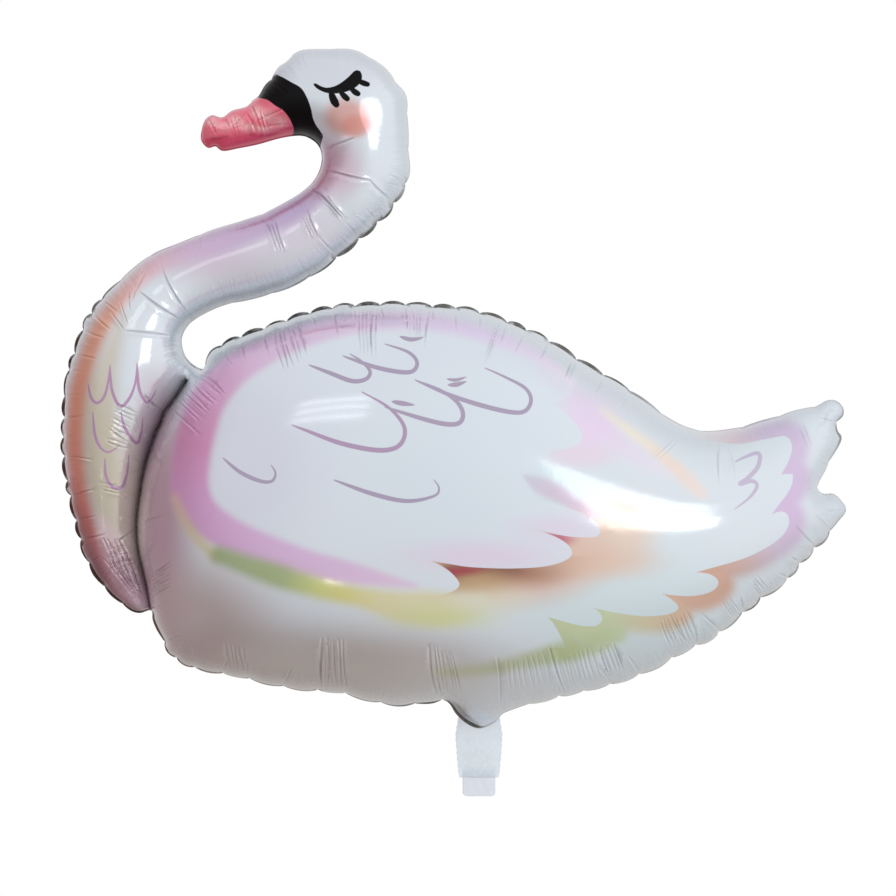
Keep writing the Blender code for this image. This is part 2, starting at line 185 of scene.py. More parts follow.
base_line = smooth_line(placed(OUTLINE), EDGE_SPACING, closed=True)
base_inward = inward(base_line)
steps_round = len(base_line)
pinch_spots = np.array(PINCHES)
pinch_steps, _ = nearest(tree_of(base_line), placed(pinch_spots))
order = np.argsort(pinch_steps)
pinch_steps, pinch_strength = pinch_steps[order], pinch_spots[order, 2]
lap_steps = np.concatenate([pinch_steps[-1:] - steps_round, pinch_steps, pinch_steps[:1] + steps_round])
lap_strength = np.concatenate([pinch_strength[-1:], pinch_strength, pinch_strength[:1]])
step_at = np.arange(steps_round)
place_in_lap = np.interp(step_at, lap_steps, np.arange(len(lap_steps)))
scallop = np.abs(np.sin(place_in_lap * math.pi)) ** SCALLOP_POWER
strength = np.interp(step_at, lap_steps, lap_strength)

drawn_in = SCALLOP_IN * (1 - scallop) * strength - SCALLOP_OUT * scallop * strength
cut_line = base_line + base_inward * drawn_in[:, None]
tone_spots = np.array(HEM_TONES)
tone_steps, _ = nearest(tree_of(base_line), placed(tone_spots))
order = np.argsort(tone_steps)
hem_tone = np.interp(step_at, tone_steps[order], tone_spots[order, 2], period=steps_round)
hem_full = HEM_NARROW + (HEM_WIDE - HEM_NARROW) * np.clip(hem_tone * HEM_FILL, 0, 1)
hem_full *= HEM_SHARE + HEM_SWING * np.sin(np.floor(place_in_lap) * HEM_TURN)
hem_width = HEM_PINCHED + (hem_full - HEM_PINCHED) * (1 - strength * (1 - scallop))
weld_line = cut_line + base_inward * hem_width[:, None]
cut_ring = Ring(cut_line)
open_weld = cut_ring.near(weld_line)[0] > CLEAR_SHARE * hem_width
weld_line, weld_inward = weld_line[open_weld], base_inward[open_weld]

# The weld between the neck and the body. The welding bar's land is flat and narrow, runs from just under
# the neck's crook down to the foot of the neck, and leaves the gas a passage above it.

NECK_WELD = (
    (187.5, 380), (184, 386), (178, 395), (171, 405), (165, 413), (161.5, 423), (157, 432), (152, 446),
    (146, 465), (142.5, 483), (139.5, 502), (137.5, 520), (137.5, 537), (139.5, 553), (143, 568),
    (146.5, 583), (149, 597), (150.5, 608.5),
)
LAND_HALF = 0.0008

land_middle = smooth_line(placed(NECK_WELD), EDGE_SPACING)
land_side = inward(land_middle, closed=False) * LAND_HALF
land_line = np.vstack([land_middle - land_side, (land_middle + land_side)[::-1]])
land_ring = Ring(land_line)

# How far the gas lifts the films. Each lobe takes the height of a film under even pressure that is held
# at its welds, solved on a square net, and the widest lobe is held back because foil doesn't stretch.

NET = 0.0020
NET_MARGIN = 4  # empty nodes round the outline
BELLY_LIMIT = 0.180
SWEEPS = 620
OVER_RELAX = 1.967
ARM_LEAST = 0.06  # a net arm that a weld cuts counts as no shorter than this
FILM_START, FILM_BLEND = 0.004, 0.006  # from the weld: the net's own values begin, and rule after a blend

# The cheek is fuller than even pressure makes it, with a flatter facet in it. Each form has its middle, its
# rise and its reach along x and z, and fades out towards the weld.
CHEEK_FORMS = (((391, 91), 0.0072, (0.040, 0.045)), ((374, 116), -0.0028, (0.016, 0.022)))
CHEEK_BLEND = 0.012

net_low = base_line.min(0) - NET_MARGIN * NET
net_high = base_line.max(0) + NET_MARGIN * NET
net_shape = tuple(int(n) for n in np.ceil((net_high - net_low) / NET)[::-1])


def net_cuts(ring):
    """Which net nodes lie inside a ring, and how near it cuts each node's four arms, 1 where it doesn't."""
    fine = smooth_line(ring, 0.7 * NET, closed=True)
    ends = (fine - net_low) / NET
    arms = []
    for across in (0, 1):
        shape = net_shape if across == 0 else net_shape[::-1]
        a = ends[:, ::-1] if across == 0 else ends
        b = np.roll(a, -1, 0)
        line_a, line_b = np.floor(a[:, 0]), np.floor(b[:, 0])
        hit = line_a != line_b
        a, b, row = a[hit], b[hit], np.maximum(line_a, line_b)[hit]
        cut = a[:, 1] + (row - a[:, 0]) / (b[:, 0] - a[:, 0]) * (b[:, 1] - a[:, 1])
        row, cell = row.astype(int), np.floor(cut).astype(int)
        after, before = np.ones(shape), np.ones(shape)
        np.minimum.at(after, (row, cell), cut - cell)
        np.minimum.at(before, (row, cell + 1), cell + 1 - cut)
        arms += [before, after] if across == 0 else [before.T, after.T]
        if across == 0:
            crossings = np.zeros(shape, int)
            np.add.at(crossings, (row, cell + 1), 1)
            inside = np.cumsum(crossings, axis=1) % 2 == 1
    return inside, arms


def film_lift():
    """The film's load function over the net, and which nodes lie inside the gas."""
    in_weld, weld_arms = net_cuts(weld_line)
    in_land, land_arms = net_cuts(land_line)
    gas = in_weld & ~in_land
    left, right, down, up = (np.clip(np.minimum(w, n), ARM_LEAST, 1) for w, n in zip(weld_arms, land_arms))
    held = [arm < 1 for arm in (left, right, down, up)]
    weights = [2 / (left * (left + right)), 2 / (right * (left + right)),
               2 / (down * (down + up)), 2 / (up * (down + up))]
    centre = sum(weights)
    weights = [np.where(h, 0, w)[1:-1, 1:-1] / centre[1:-1, 1:-1] for h, w in zip(held, weights)]
    load = (NET**2 / centre)[1:-1, 1:-1]
    odd = (np.add.outer(np.arange(net_shape[0]), np.arange(net_shape[1])) % 2 == 1)[1:-1, 1:-1]
    passes = [OVER_RELAX * (gas[1:-1, 1:-1] & half) for half in (odd, ~odd)]
    lift = np.zeros(net_shape)
    middle = lift[1:-1, 1:-1]
    for _ in range(SWEEPS):
        for share in passes:
            pull = (weights[0] * lift[1:-1, :-2] + weights[1] * lift[1:-1, 2:]
                    + weights[2] * lift[:-2, 1:-1] + weights[3] * lift[2:, 1:-1] + load)
            middle += share * (pull - middle)
    return lift, gas


lift_net, gas_net = film_lift()
weld_ring = Ring(smooth_line(weld_line, EDGE_SPACING, closed=True))


def weld_distance(where):
    return np.minimum(weld_ring.near(where)[0], land_ring.near(where)[0])


gas_rows, gas_columns = np.nonzero(gas_net)
gas_places = np.column_stack([gas_columns, gas_rows]) * NET + net_low
share_net = np.zeros(net_shape)
share_net[gas_net] = lift_net[gas_net] / np.maximum(weld_distance(gas_places), 1e-4)


def net_value(values, known, where):
    """Values between the net's nodes, from the known ones."""
    place = (where - net_low) / NET
    cell = np.floor(place).astype(int)
    part = place - cell
    total, weight = np.zeros(len(where)), np.full(len(where), 1e-9)
    for dx in (0, 1):
        for dz in (0, 1):
            column = np.clip(cell[:, 0] + dx, 0, net_shape[1] - 1)
            row = np.clip(cell[:, 1] + dz, 0, net_shape[0] - 1)
            near = (part[:, 0] if dx else 1 - part[:, 0]) * (part[:, 1] if dz else 1 - part[:, 1])
            near = near * known[row, column]
            total += near * values[row, column]
            weight += near
    return total / weight


def height_at(where, to_weld=None):
    """The film's height over the middle plane, before its creases."""
    to_weld = weld_distance(where) if to_weld is None else to_weld
    by_share = net_value(share_net, gas_net, where) * to_weld
    in_open = net_value(lift_net, gas_net, where)
    open_share = np.clip((to_weld - FILM_START) / FILM_BLEND, 0, 1)
    lift = by_share + (in_open - by_share) * open_share
    height = np.sqrt(np.maximum(2 * lift, 0))
    height = height / np.sqrt(1 + (height / BELLY_LIMIT) ** 2)
    for middle, rise, reach in CHEEK_FORMS:
        away_shares = (where - placed([middle])) / reach
        height += rise * np.exp(-(away_shares**2).sum(1)) * np.clip(to_weld / CHEEK_BLEND, 0, 1)
    return height


# The print and the folds are given where the photograph's camera sees them on the blown film.
VIEW_CENTRE = np.array((448.0, 448.0))
VIEW_DISTANCE = 3.5


def seen_to_flat(points):
    """Grid points as the camera sees them on the blown film, in metres on the middle plane."""
    centre = placed([VIEW_CENTRE])
    seen = placed(points)
    flat = seen
    for _ in range(3):
        flat = centre + (seen - centre) * (1 - height_at(flat)[:, None] / VIEW_DISTANCE)
    return flat


def flat_to_seen(flat, height):
    """Where the camera sees points of the film, back on the grid."""
    centre = placed([VIEW_CENTRE])
    seen = centre + (flat - centre) / (1 - height[:, None] / VIEW_DISTANCE)
    return seen / (STEP, -STEP) + TIE


# The creases. Welded flat films gather as they are blown up: sharp folds where the neck bends, and groups
# of short parallel puckers along the welds. A fold is its two ends and its depth, and a group is its first
# and its last fold, their count and their depth. One more short fold runs in from every pinch of the weld.

CREASES = (
    # The throat and the nape.
    ((300, 217, 309, 238), (309, 213, 318, 233), 3, 0.0013),
    ((322, 198, 341, 221), (328, 195, 348, 217), 2, 0.0013), ((312, 188, 343, 218.5), 0.0022),
    ((325, 170, 372, 181), 0.0020), ((327, 148, 355, 138), 0.0018),
    ((265, 222, 273, 252), (277, 220, 286, 250), 3, 0.0013),
    # The neck's crook.
    ((187, 313, 162, 270), 0.0020), ((180, 320, 138, 291), 0.0020), ((170, 336, 124, 331), 0.0018),
    ((150, 268, 136, 286), (108, 318, 124, 338), 5, 0.0008),
    # The beak.
    ((213, 118, 211, 130), (221, 117, 220, 128), 4, 0.0008),
    ((230, 115, 234, 130), (242, 114, 245, 130), 5, 0.0008),
    ((252, 112, 259, 133), (263, 110, 270, 131), 5, 0.0008), ((249, 101, 258, 121), 0.0022),
    ((220, 114, 230, 128), 0.0018), ((230, 128, 246, 112), 0.0018), ((246, 112, 256, 132), 0.0018),
    ((256, 122, 284, 109), 0.0018), ((262, 128, 290, 124), 0.0014), ((207, 117, 216, 133), 0.0016),
    # The neck's front, beside its weld and at its foot.
    ((118, 401, 138, 412), (106, 444, 126, 452), 9, 0.0008),
    ((101, 483, 124, 487), (104, 492, 120, 496), 3, 0.0007), ((143, 393, 163, 412), 0.0018),
    ((119.5, 541, 136.5, 529), 0.0018), ((99, 536, 114, 572), (122, 540, 146, 598), 4, 0.0020),
    ((101, 560, 134, 602), (118, 558, 142, 590), 3, 0.0018),
    ((106, 548, 126, 543), (112, 576, 136, 566), 4, 0.0012),
    # The shoulder and the breast.
    ((205, 370, 226, 391), (176, 403, 197, 424), 8, 0.0010), ((173, 411, 198, 433), 0.0018),
    ((141, 524, 166, 510), (149, 521, 165, 517), 3, 0.0008),
    ((150, 574, 172, 559), (152, 596, 172, 589), 7, 0.0010),
    # The back.
    ((271, 331, 282, 371), (299, 322, 309, 354), 6, 0.0011),
    ((357, 307, 360, 355), (379, 307, 377, 358), 6, 0.0011),
    ((404, 313, 408, 340), (422, 310, 421, 344), 5, 0.0006), ((430, 308, 424, 346), 0.0016),
    ((501, 322, 486, 366), (495, 320, 481, 358), 2, 0.0012),
    ((575, 362, 568, 380), (571, 360, 564, 376), 2, 0.0010),
    # The tail.
    ((660, 461, 681, 440), (652, 458, 672, 438), 2, 0.0010),
    ((713, 443, 711, 485), (733, 445, 742, 470), 2, 0.0009),
    ((803, 420, 815, 446), (796, 424, 806, 448), 2, 0.0009),
    ((750, 581, 760, 595), (758, 575, 769, 588), 3, 0.0009),
    ((721, 602, 731, 618), (730, 596, 740, 611), 4, 0.0009),
    # The underside, from the rump to the breast.
    ((657, 622, 668, 647), (688, 611, 698, 635), 8, 0.0009), ((671, 617, 685, 641), 0.0018),
    ((598, 651, 607, 677), (615, 644, 624, 668), 5, 0.0012),
    ((556, 661, 562, 688), (594, 646, 602, 676), 8, 0.0006), ((549, 646, 564, 693), 0.0020),
    ((504, 663, 507, 690), (545, 652, 553, 684), 8, 0.0006), ((497, 657, 500, 703), 0.0016),
    ((431, 645, 438, 692), (454, 655, 462, 692), 6, 0.0009), ((429, 646, 437, 697), 0.0016),
    ((320, 640, 320, 688), (345, 640, 348, 688), 6, 0.0009), ((322, 636, 322, 690), 0.0018),
    ((222, 640, 228, 668), (245, 646, 250, 674), 5, 0.0008),
)
FOLD_HALF = 0.0008
FOLD_STRAY = 1.2  # how far the folds of a group stray sideways, in grid steps
FOLD_BEND = 0.06  # how far a fold bows, as a share of its length
FOLD_FADE = 0.6
RIDGE_RISE, RIDGE_AWAY = 0.42, 2.1  # the ridges beside a valley: share of its depth, half widths away
CREASE_LINE = 0.55  # half the painted shade line in a valley, in half widths of the fold
CREASE_DARK = 0.0020  # the depth from which that painted shade line is quite dark
PINCH_FOLD_DEPTH = 0.0012
PINCH_FOLD_LENGTH = (0.014, 0.034)
PINCH_FOLD_START = 0.004  # from the cut line

chance = np.random.default_rng(7)


def fold_list():
    """Every single fold as its two ends on the middle plane, its depth and its half width."""
    folds = []
    for crease in CREASES:
        first, last, count, depth = crease if len(crease) == 4 else (crease[0], crease[0], 1, crease[1])
        single = count == 1
        for share in (np.arange(count) + 0.5) / count:
            ends = np.array(first) + (np.array(last) - np.array(first)) * share
            stray = chance.normal(0, 0.0 if single else FOLD_STRAY, 4)
            ends = seen_to_flat((ends + stray * (0.5, 1, 0.5, 1)).reshape(2, 2))
            folds.append((ends, depth * (0.85 if single else chance.uniform(0.7, 1.4)),
                          FOLD_HALF * (1.1 if single else chance.uniform(0.8, 1.0))))
    for step, amount in zip(pinch_steps, pinch_strength):
        side = np.array((base_inward[step][1], -base_inward[step][0])) * chance.normal(0, 0.15)
        reach = (base_inward[step] + side) * chance.uniform(*PINCH_FOLD_LENGTH) * (0.4 + 0.6 * amount)
        start = base_line[step] + base_inward[step] * PINCH_FOLD_START
        folds.append((np.array([start, start + reach]), PINCH_FOLD_DEPTH * amount, FOLD_HALF))
    return folds


folds = fold_list()


def fold_depth(where, jitter):
    """How far the folds press the film in, or raise it beside them, and how much painted shade darkens each
    valley.
    """
    pressed, painted_crease_shade = np.zeros(len(where)), np.zeros(len(where))
    for (start, end), depth, half in folds:
        near = (np.abs(where - (start + end) / 2) < np.abs(end - start) / 2 + 5 * half).all(1)
        if not near.any():
            continue
        length = np.hypot(*(end - start))
        axis = (end - start) / length
        away = where[near] - start
        along = away @ axis / length
        bend = FOLD_BEND * length * np.sin(along * math.pi) * math.sin(9e3 * start[0] + jitter)
        aside = (away @ np.array((-axis[1], axis[0])) + 0.5 * bend) / half
        fade = np.clip(np.sin(np.clip(along, 0, 1) * math.pi), 0, 1) ** FOLD_FADE
        ridges = RIDGE_RISE * np.exp(-((np.abs(aside) - RIDGE_AWAY) ** 2))
        pressed[near] += depth * fade * (np.exp(-aside**2) - ridges)
        line = min(1.0, (depth / CREASE_DARK) ** 2) * fade * np.exp(-((aside / CREASE_LINE) ** 2))
        painted_crease_shade[near] = np.maximum(painted_crease_shade[near], line)
    return pressed, painted_crease_shade


# The print. Flat inks on the pearl ground: soft bands round the body, feather strokes, the wing's feather
# tips, the tail's, and the face with its mask, closed eye and blush. Both films carry the same print.


def ink(red, green, blue):
    """A colour from its screen values, 0 to 255."""
    share = np.array((red, green, blue)) / 255
    return np.where(share <= 0.04045, share / 12.92, ((share + 0.055) / 1.055) ** 2.4)


PEARL = ink(216, 222, 228)
WING_PEARL = ink(218, 223, 231)
BLACK = ink(14, 12, 14)

# Feather strokes: points, widest width and colour.
LILAC_STROKE = ink(170, 156, 178)
PINK_STROKE = ink(176, 150, 178)
NECK_STROKE = ink(180, 142, 176)
TAIL_STROKE = ink(194, 184, 204)
STROKES = (
    (LILAC_STROKE, 4.6, ((309, 365), (330, 373), (352, 381), (366, 379), (370, 371), (361, 361),
                         (350, 354))),
    (LILAC_STROKE, 4.6, ((343, 356), (375, 367), (400, 372), (413, 371), (417, 362), (408, 352),
                         (385, 344))),
    (LILAC_STROKE, 4.4, ((400, 336.5), (411, 339.5), (423, 337.5))),
    (PINK_STROKE, 5.0, ((292, 425), (305, 430), (340, 443), (375, 450), (395, 448), (404, 438),
                        (403, 424), (388, 407), (362, 392))),
    (LILAC_STROKE, 4.8, ((385, 407), (420, 418), (445, 424), (459, 423), (463, 414), (457, 402),
                         (440, 390), (415, 380))),
    (LILAC_STROKE, 5.0, ((392, 401.5), (403, 403.5), (414, 405))),
    (LILAC_STROKE, 4.8, ((415, 380), (450, 395), (480, 405), (510, 412), (525, 411), (531, 400),
                         (525, 388), (505, 377), (485, 368))),
    (LILAC_STROKE, 3.4, ((447, 379), (456, 380), (466, 377))),
    (LILAC_STROKE, 4.6, ((448, 385), (457, 384.5), (466, 381.5))),
    (LILAC_STROKE, 4.6, ((334, 480), (373, 494), (407, 501), (434, 496), (439, 488), (434, 480))),
    (LILAC_STROKE, 4.2, ((223, 458), (240, 472), (260, 481), (272, 481), (275.5, 473), (271, 465))),
    (NECK_STROKE, 2.9, ((88, 383), (91, 397), (97, 403), (104, 397), (108, 383), (110, 365))),
    (NECK_STROKE, 3.2, ((110, 365), (112, 390), (120, 406), (129, 399), (135, 384), (137, 365))),
    (NECK_STROKE, 3.2, ((137, 363), (139, 388), (146, 402), (152, 398), (156, 390))),
    (NECK_STROKE, 2.8, ((93, 412), (95, 435), (101, 448), (109, 452), (119, 446))),
    (NECK_STROKE, 3.2, ((121, 412), (125, 428), (136, 443), (141, 434), (143, 417))),
    (NECK_STROKE, 3.2, ((105, 458), (106, 476), (113, 487), (122, 487), (127, 473), (129, 455))),
    (TAIL_STROKE, 4.6, ((735, 462), (745, 457), (757, 453), (760, 458), (757, 468), (748, 478),
                        (740, 484), (752, 481), (757, 486), (750, 497), (735, 509))),
)
LASHES = (  # with half widths
    ((331, 91, 2.0), (331.8, 95, 3.2), (333.2, 99, 3.8), (335, 102.4, 3.9), (336.4, 104.6, 3.2)),
    ((339.5, 90, 1.9), (341.8, 93.4, 2.5), (344.6, 96.4, 3.1), (347.2, 98.8, 2.8)),
    ((350, 87, 1.9), (352.8, 90.2, 2.6), (355.6, 92.4, 3.1), (358.0, 93.8, 2.7)),
    ((358, 79.6, 1.9), (361, 82.0, 2.6), (364.4, 83.4, 2.9), (367.6, 84.4, 2.5)),
)
# Painted highlights on the beak.
BEAK_GLEAMS = (
    (212, 122, 6, 4), (224, 126, 7, 3), (236, 121, 7, 5), (248, 127, 8, 3), (257, 112, 6, 6),
    (268, 117, 7, 6), (280, 122, 6, 5), (264, 129, 9, 2.5),
)
MOUTH = ((206, 139.5), (213, 139), (230, 136.6), (250, 134), (268, 135.5), (280, 131), (292, 128))

# The wing covers all that lies above and left of its feather tips. Each run ends in a tip or a notch.
WING = (
    ((188, 488), (190, 460), (196, 430), (207, 400), (230, 373), (262, 353), (300, 337), (350, 324),
     (400, 320), (450, 325), (500, 340), (540, 358), (566, 378), (573, 391), (562, 400), (548, 402)),
    ((548, 402), (560, 408), (571, 418), (579, 428), (582, 437), (579, 444), (570, 448), (551, 450)),
    ((551, 450), (545, 462), (523, 475)),
    ((523, 475), (530, 489), (536, 500), (552, 504), (568, 508), (582, 513), (592, 519), (599, 527),
     (600, 533), (594, 537), (575, 537), (560, 535), (545, 531.5), (530, 527), (512, 522)),
    ((512, 522), (525, 526.5), (538, 530.5), (550, 534.5), (560, 539), (567, 544), (571.5, 550),
     (571, 556), (564, 561), (552, 565), (535, 567.5), (505, 568.5), (470, 567), (450, 564), (432, 561)),
    ((432, 561), (445, 568), (454, 575.5), (459.5, 584), (455, 590), (443, 594.5), (428, 596), (400, 593),
     (380, 588)),
    ((380, 588), (310, 564), (262, 551), (222, 538), (197, 515), (188, 488)),
)
FEATHER_EDGE = (
    (400, 600), (432, 580), (458, 572), (500, 569), (535, 568), (560, 562), (578, 552), (590, 543),
    (606, 535), (622, 532),
)
TAIL_FEATHERS = (
    ((560, 430), (690, 438), (735, 444), (760, 440), (774, 437.5), (784, 436), (790, 440), (792, 448),
     (790, 457), (786, 466), (781, 474.5)),
    ((781, 474.5), (787, 474), (793, 474)),
    ((793, 474), (792, 484), (787, 494), (780, 503), (772, 514)),
    ((772, 514), (780, 511.5), (786, 513), (789, 519), (788, 527), (783, 535), (775, 542), (764, 549),
     (750, 556), (733, 562), (715, 567), (697, 572)),
    ((697, 572), (709, 574), (716, 578), (718.5, 583), (715, 589), (706, 593.5), (692, 596), (676, 595.5),
     (663, 594)),
    ((663, 594), (671, 599), (677, 604.5), (678, 609), (672, 613), (660, 615.5), (640, 616), (615, 612.5),
     (594, 608)),
    ((594, 608), (599, 612), (602, 617), (601, 622), (595, 626), (580, 625.5), (564, 621.5), (548, 617)),
    ((548, 617), (553, 623), (559, 633), (566, 648)), ((566, 648), (500, 648)), ((500, 648), (480, 560)),
    ((480, 560), (560, 430)),
)
EYELID = (
    ((313.4, 84.6), (314.4, 83.2), (317, 84), (321, 86.2), (326, 87.6), (331, 87.2), (336, 85.6),
     (341, 82.8), (346, 79), (350, 75.4), (353.4, 71.8), (356.6, 70.2), (360, 71)),
    ((360, 71), (361.8, 74.4), (361.8, 79), (359, 84.4), (354, 88.4), (348, 91.2), (341, 93), (333, 93.8),
     (326, 92.8), (320, 90.4), (316, 87.8), (313.4, 84.6)),
)
MASK = (
    ((268, 72), (280, 76), (291, 82), (301, 88), (307, 97.5), (311, 108.5), (313, 118), (316, 125),
     (321, 132), (323, 136), (321.5, 142), (320, 150)),
    ((320, 150), (310, 141), (300, 137), (291.5, 138)),
    ((291.5, 138), (293, 131), (292, 125), (288, 117), (283, 111), (275, 106), (266, 100), (252, 100)),
    ((252, 100), (255, 85), (268, 72)),
)
BEAK = (
    ((250, 97), (266, 99.5), (275, 105.5), (283, 110.5), (288.5, 117), (292.5, 125), (293.5, 131),
     (292, 139)),
    ((292, 139), (240, 160), (190, 160)), ((190, 160), (190, 100), (250, 97)),
)
LOWER_BEAK = (
    ((203, 141), (213, 139.5), (230, 136.8), (250, 134.3), (266, 135.5), (280, 131.5), (294, 127.5)),
    ((294, 127.5), (294, 145)), ((294, 145), (240, 160), (190, 160)), ((190, 160), (203, 141)),
)
CRISP_SHAPES = (WING, TAIL_FEATHERS, EYELID, MASK, BEAK)
INK_EDGE = 0.28  # half the width of a printed edge, in grid steps


def drawn(runs, spacing=1.8):
    """A closed print shape in grid steps from runs that are smooth between their ends."""
    return np.vstack([smooth_line(run, spacing)[:-1] for run in runs])


def taper(points, width):
    """A stroke in even steps, with its half width as a third column: thin at its ends."""
    line = smooth_line(points, 1.6)
    share = np.linspace(0, 1, len(line))
    return np.column_stack([line, 0.5 * width * (0.22 + 0.78 * np.sin(share**0.8 * math.pi) ** 0.8)])


def within(where, line):
    """Whether each point lies inside a closed line."""
    result = np.zeros(len(where), bool)
    low, high = line.min(0), line.max(0)
    near = ((where > low) & (where < high)).all(1)
    x, y = where[near, 0, None], where[near, 1, None]
    ends = np.roll(line, -1, 0)
    rise = np.where(ends[:, 1] == line[:, 1], 1.0, ends[:, 1] - line[:, 1])
    crosses = (line[:, 1] > y) != (ends[:, 1] > y)
    crossed_at = (ends[:, 0] - line[:, 0]) * (y - line[:, 1]) / rise + line[:, 0]
    result[near] = (crosses & (x < crossed_at)).sum(1) % 2 == 1
    return result


def line_distance(where, line, reach):
    """Each near point's distance to an open line, and its place along it from 0 to 1."""
    distance, place = np.full(len(where), 1e3), np.zeros(len(where))
    low, high = line[:, :2].min(0) - reach, line[:, :2].max(0) + reach
    near = np.nonzero(((where > low) & (where < high)).all(1))[0]
    if len(near) == 0:
        return distance, place
    start, span = line[:-1, :2], np.diff(line[:, :2], axis=0)
    away = where[near, None] - start
    share = np.clip((away * span).sum(2) / np.maximum((span**2).sum(1), 1e-12), 0, 1)
    gaps = np.hypot(*np.moveaxis(away - share[..., None] * span, 2, 0))
    best = gaps.argmin(1)
    rows = np.arange(len(near))
    distance[near] = gaps[rows, best]
    place[near] = (best + share[rows, best]) / len(span)
    return distance, place


# The films' mesh on the middle plane. Rows of points follow the welds, the folds and the edges of the
# print, and an even field fills the rest.

ROW_DEPTHS = (0.00045, 0.0015, 0.0032, 0.0056, 0.0088)
FOLD_ROWS = (-3.2, -2.0, -1.0, 0.0, 1.0, 2.0, 3.2)  # in half widths of the fold
FIELD_SPACING = 0.0041
RIM_ROW = 0.0005  # one row just inside the cut line
ROW_GAP, INK_GAP, FOLD_GAP, FIELD_GAP = 0.0003, 0.00035, 0.0008, 0.62 * FIELD_SPACING
INK_FROM_WELD, FOLD_FROM_WELD = 0.0012, 0.0018
CAP_POINTS = 10  # round each end of a stroke
FOLD_SHARES = (0.03, 0.97)  # where the rows along a fold begin and end
FOLD_STEP = 0.0032  # from one point to the next along a fold
FIELD_ROW = 0.866  # even triangles: rows are this share of the spacing apart
FIELD_FROM_ROWS = 0.35  # and start this share of it after the last row along a weld
FILM_HALF = 0.0005  # half the hem's thickness
HEM_RUFFLE = 0.0008
RUFFLE_TURN = 0.6
RUFFLE_STARTS, RUFFLE_BLEND = 0.035, 0.02  # from the ribbon tie, so that the tail's root is plain
SETTLE, SETTLE_POWER = 0.007, 0.7  # folds die out within this distance of the weld

plan_points = np.zeros((0, 2))


def accept(points, gap):
    """Adds those points that keep their distance from all that came before."""
    global plan_points
    if len(plan_points):
        points = points[nearest(tree_of(plan_points), points)[1] > gap]
    plan_points = np.vstack([plan_points, points])


def in_gas(where):
    return within(where, weld_line) & ~within(where, land_line)


def offset_rows(line, normals, depths):
    rows = []
    for depth in depths:
        row = line + normals * depth
        rows.append(row[in_gas(row) & (weld_distance(row) > CLEAR_SHARE * depth)])
    return np.vstack(rows)


accept(cut_line, 0)
accept(weld_line, 1e-5)
accept(land_line, 1e-5)
rim = cut_line + base_inward * RIM_ROW
accept(rim[cut_ring.near(rim)[0] > 0.9 * RIM_ROW], ROW_GAP)
accept(offset_rows(weld_line, weld_inward, ROW_DEPTHS), ROW_GAP)
accept(offset_rows(land_line, -inward(land_line), ROW_DEPTHS), ROW_GAP)

edge_points = []
for shape in CRISP_SHAPES:
    shape_line = drawn(shape)
    side = inward(shape_line) * INK_EDGE
    edge_points += [shape_line + side, shape_line - side]
drawn_strokes = [(colour, taper(points, width)) for colour, width, points in STROKES]
drawn_strokes += [(BLACK, smooth_line(points, 1.2)) for points in LASHES]
cap_turns = np.linspace(0, 2 * math.pi, CAP_POINTS, endpoint=False)
cap = np.column_stack([np.cos(cap_turns), np.sin(cap_turns)])
for _, stroke in drawn_strokes:
    side = inward(stroke, closed=False)
    for inner in (-INK_EDGE, INK_EDGE):
        edge_points += [stroke[:, :2] + side * edge * (stroke[:, 2:] + inner) for edge in (-1, 1)]
        edge_points += [end[:2] + cap * (end[2] + inner) for end in (stroke[0], stroke[-1])]
edge_points = seen_to_flat(np.vstack(edge_points))
edge_points = edge_points[in_gas(edge_points)]
accept(edge_points[weld_distance(edge_points) > INK_FROM_WELD], INK_GAP)

fold_points = []
for (start, end), _, half in folds:
    length = np.hypot(*(end - start))
    along = np.linspace(*FOLD_SHARES, max(3, round(length / FOLD_STEP)))[:, None]
    axis = (end - start) / length
    middle = start + (end - start) * along
    fold_points += [middle + np.array((-axis[1], axis[0])) * half * row for row in FOLD_ROWS]
fold_points = np.vstack(fold_points)
fold_points = fold_points[in_gas(fold_points)]
accept(fold_points[weld_distance(fold_points) > FOLD_FROM_WELD], FOLD_GAP)

low, high = base_line.min(0), base_line.max(0)
columns, rows = np.meshgrid(np.arange(low[0], high[0], FIELD_SPACING),
                            np.arange(low[1], high[1], FIELD_SPACING * FIELD_ROW))
columns[1::2] += FIELD_SPACING / 2
field = np.column_stack([columns.ravel(), rows.ravel()])
field = field[in_gas(field)]
accept(field[weld_distance(field) > ROW_DEPTHS[-1] + FIELD_FROM_ROWS * FIELD_SPACING], FIELD_GAP)

# The cut line, the weld and the neck weld's land stay edges of the mesh.
cut_count, weld_count, land_count = len(cut_line), len(weld_line), len(land_line)
loops = ((cut_count, weld_count), (cut_count + weld_count, land_count))
held_edges = [(first + i, first + (i + 1) % count) for first, count in loops for i in range(count)]
outer_face = [list(range(cut_count))[::-1]]
found = delaunay_2d_cdt([tuple(p) for p in plan_points], held_edges, outer_face, 1, 1e-7)
plan = np.array([tuple(v) for v in found[0]])
triangles = np.array([f for f in found[2] if len(f) == 3])

# Heights, the hem's ruffle and the folds, pressed in along the film's own normals.
to_weld = weld_distance(plan)
gas = in_gas(plan)
height = np.where(gas, height_at(plan, to_weld), 0.0)
to_cut, hem_step = cut_ring.near(plan)
on_cut = to_cut < 1e-6
hem_share = np.clip(1 - to_cut / hem_width[hem_step], 0, 1) * (~gas)
wave = np.sin(place_in_lap[hem_step] * math.pi * 2 + RUFFLE_TURN) * strength[hem_step]
ruffle = HEM_RUFFLE * wave * hem_share * hem_tone[hem_step]
ruffle += HEM_CURL * hem_share * (1 - hem_tone[hem_step])
ruffle *= np.clip((np.hypot(*plan.T) - RUFFLE_STARTS) / RUFFLE_BLEND, 0, 1)
base_place = np.column_stack([plan[:, 0], -height - FILM_HALF, plan[:, 1]])
base_place[on_cut, 1] = 0.0
corners = base_place[triangles]
face_normals = np.cross(corners[:, 1] - corners[:, 0], corners[:, 2] - corners[:, 0])
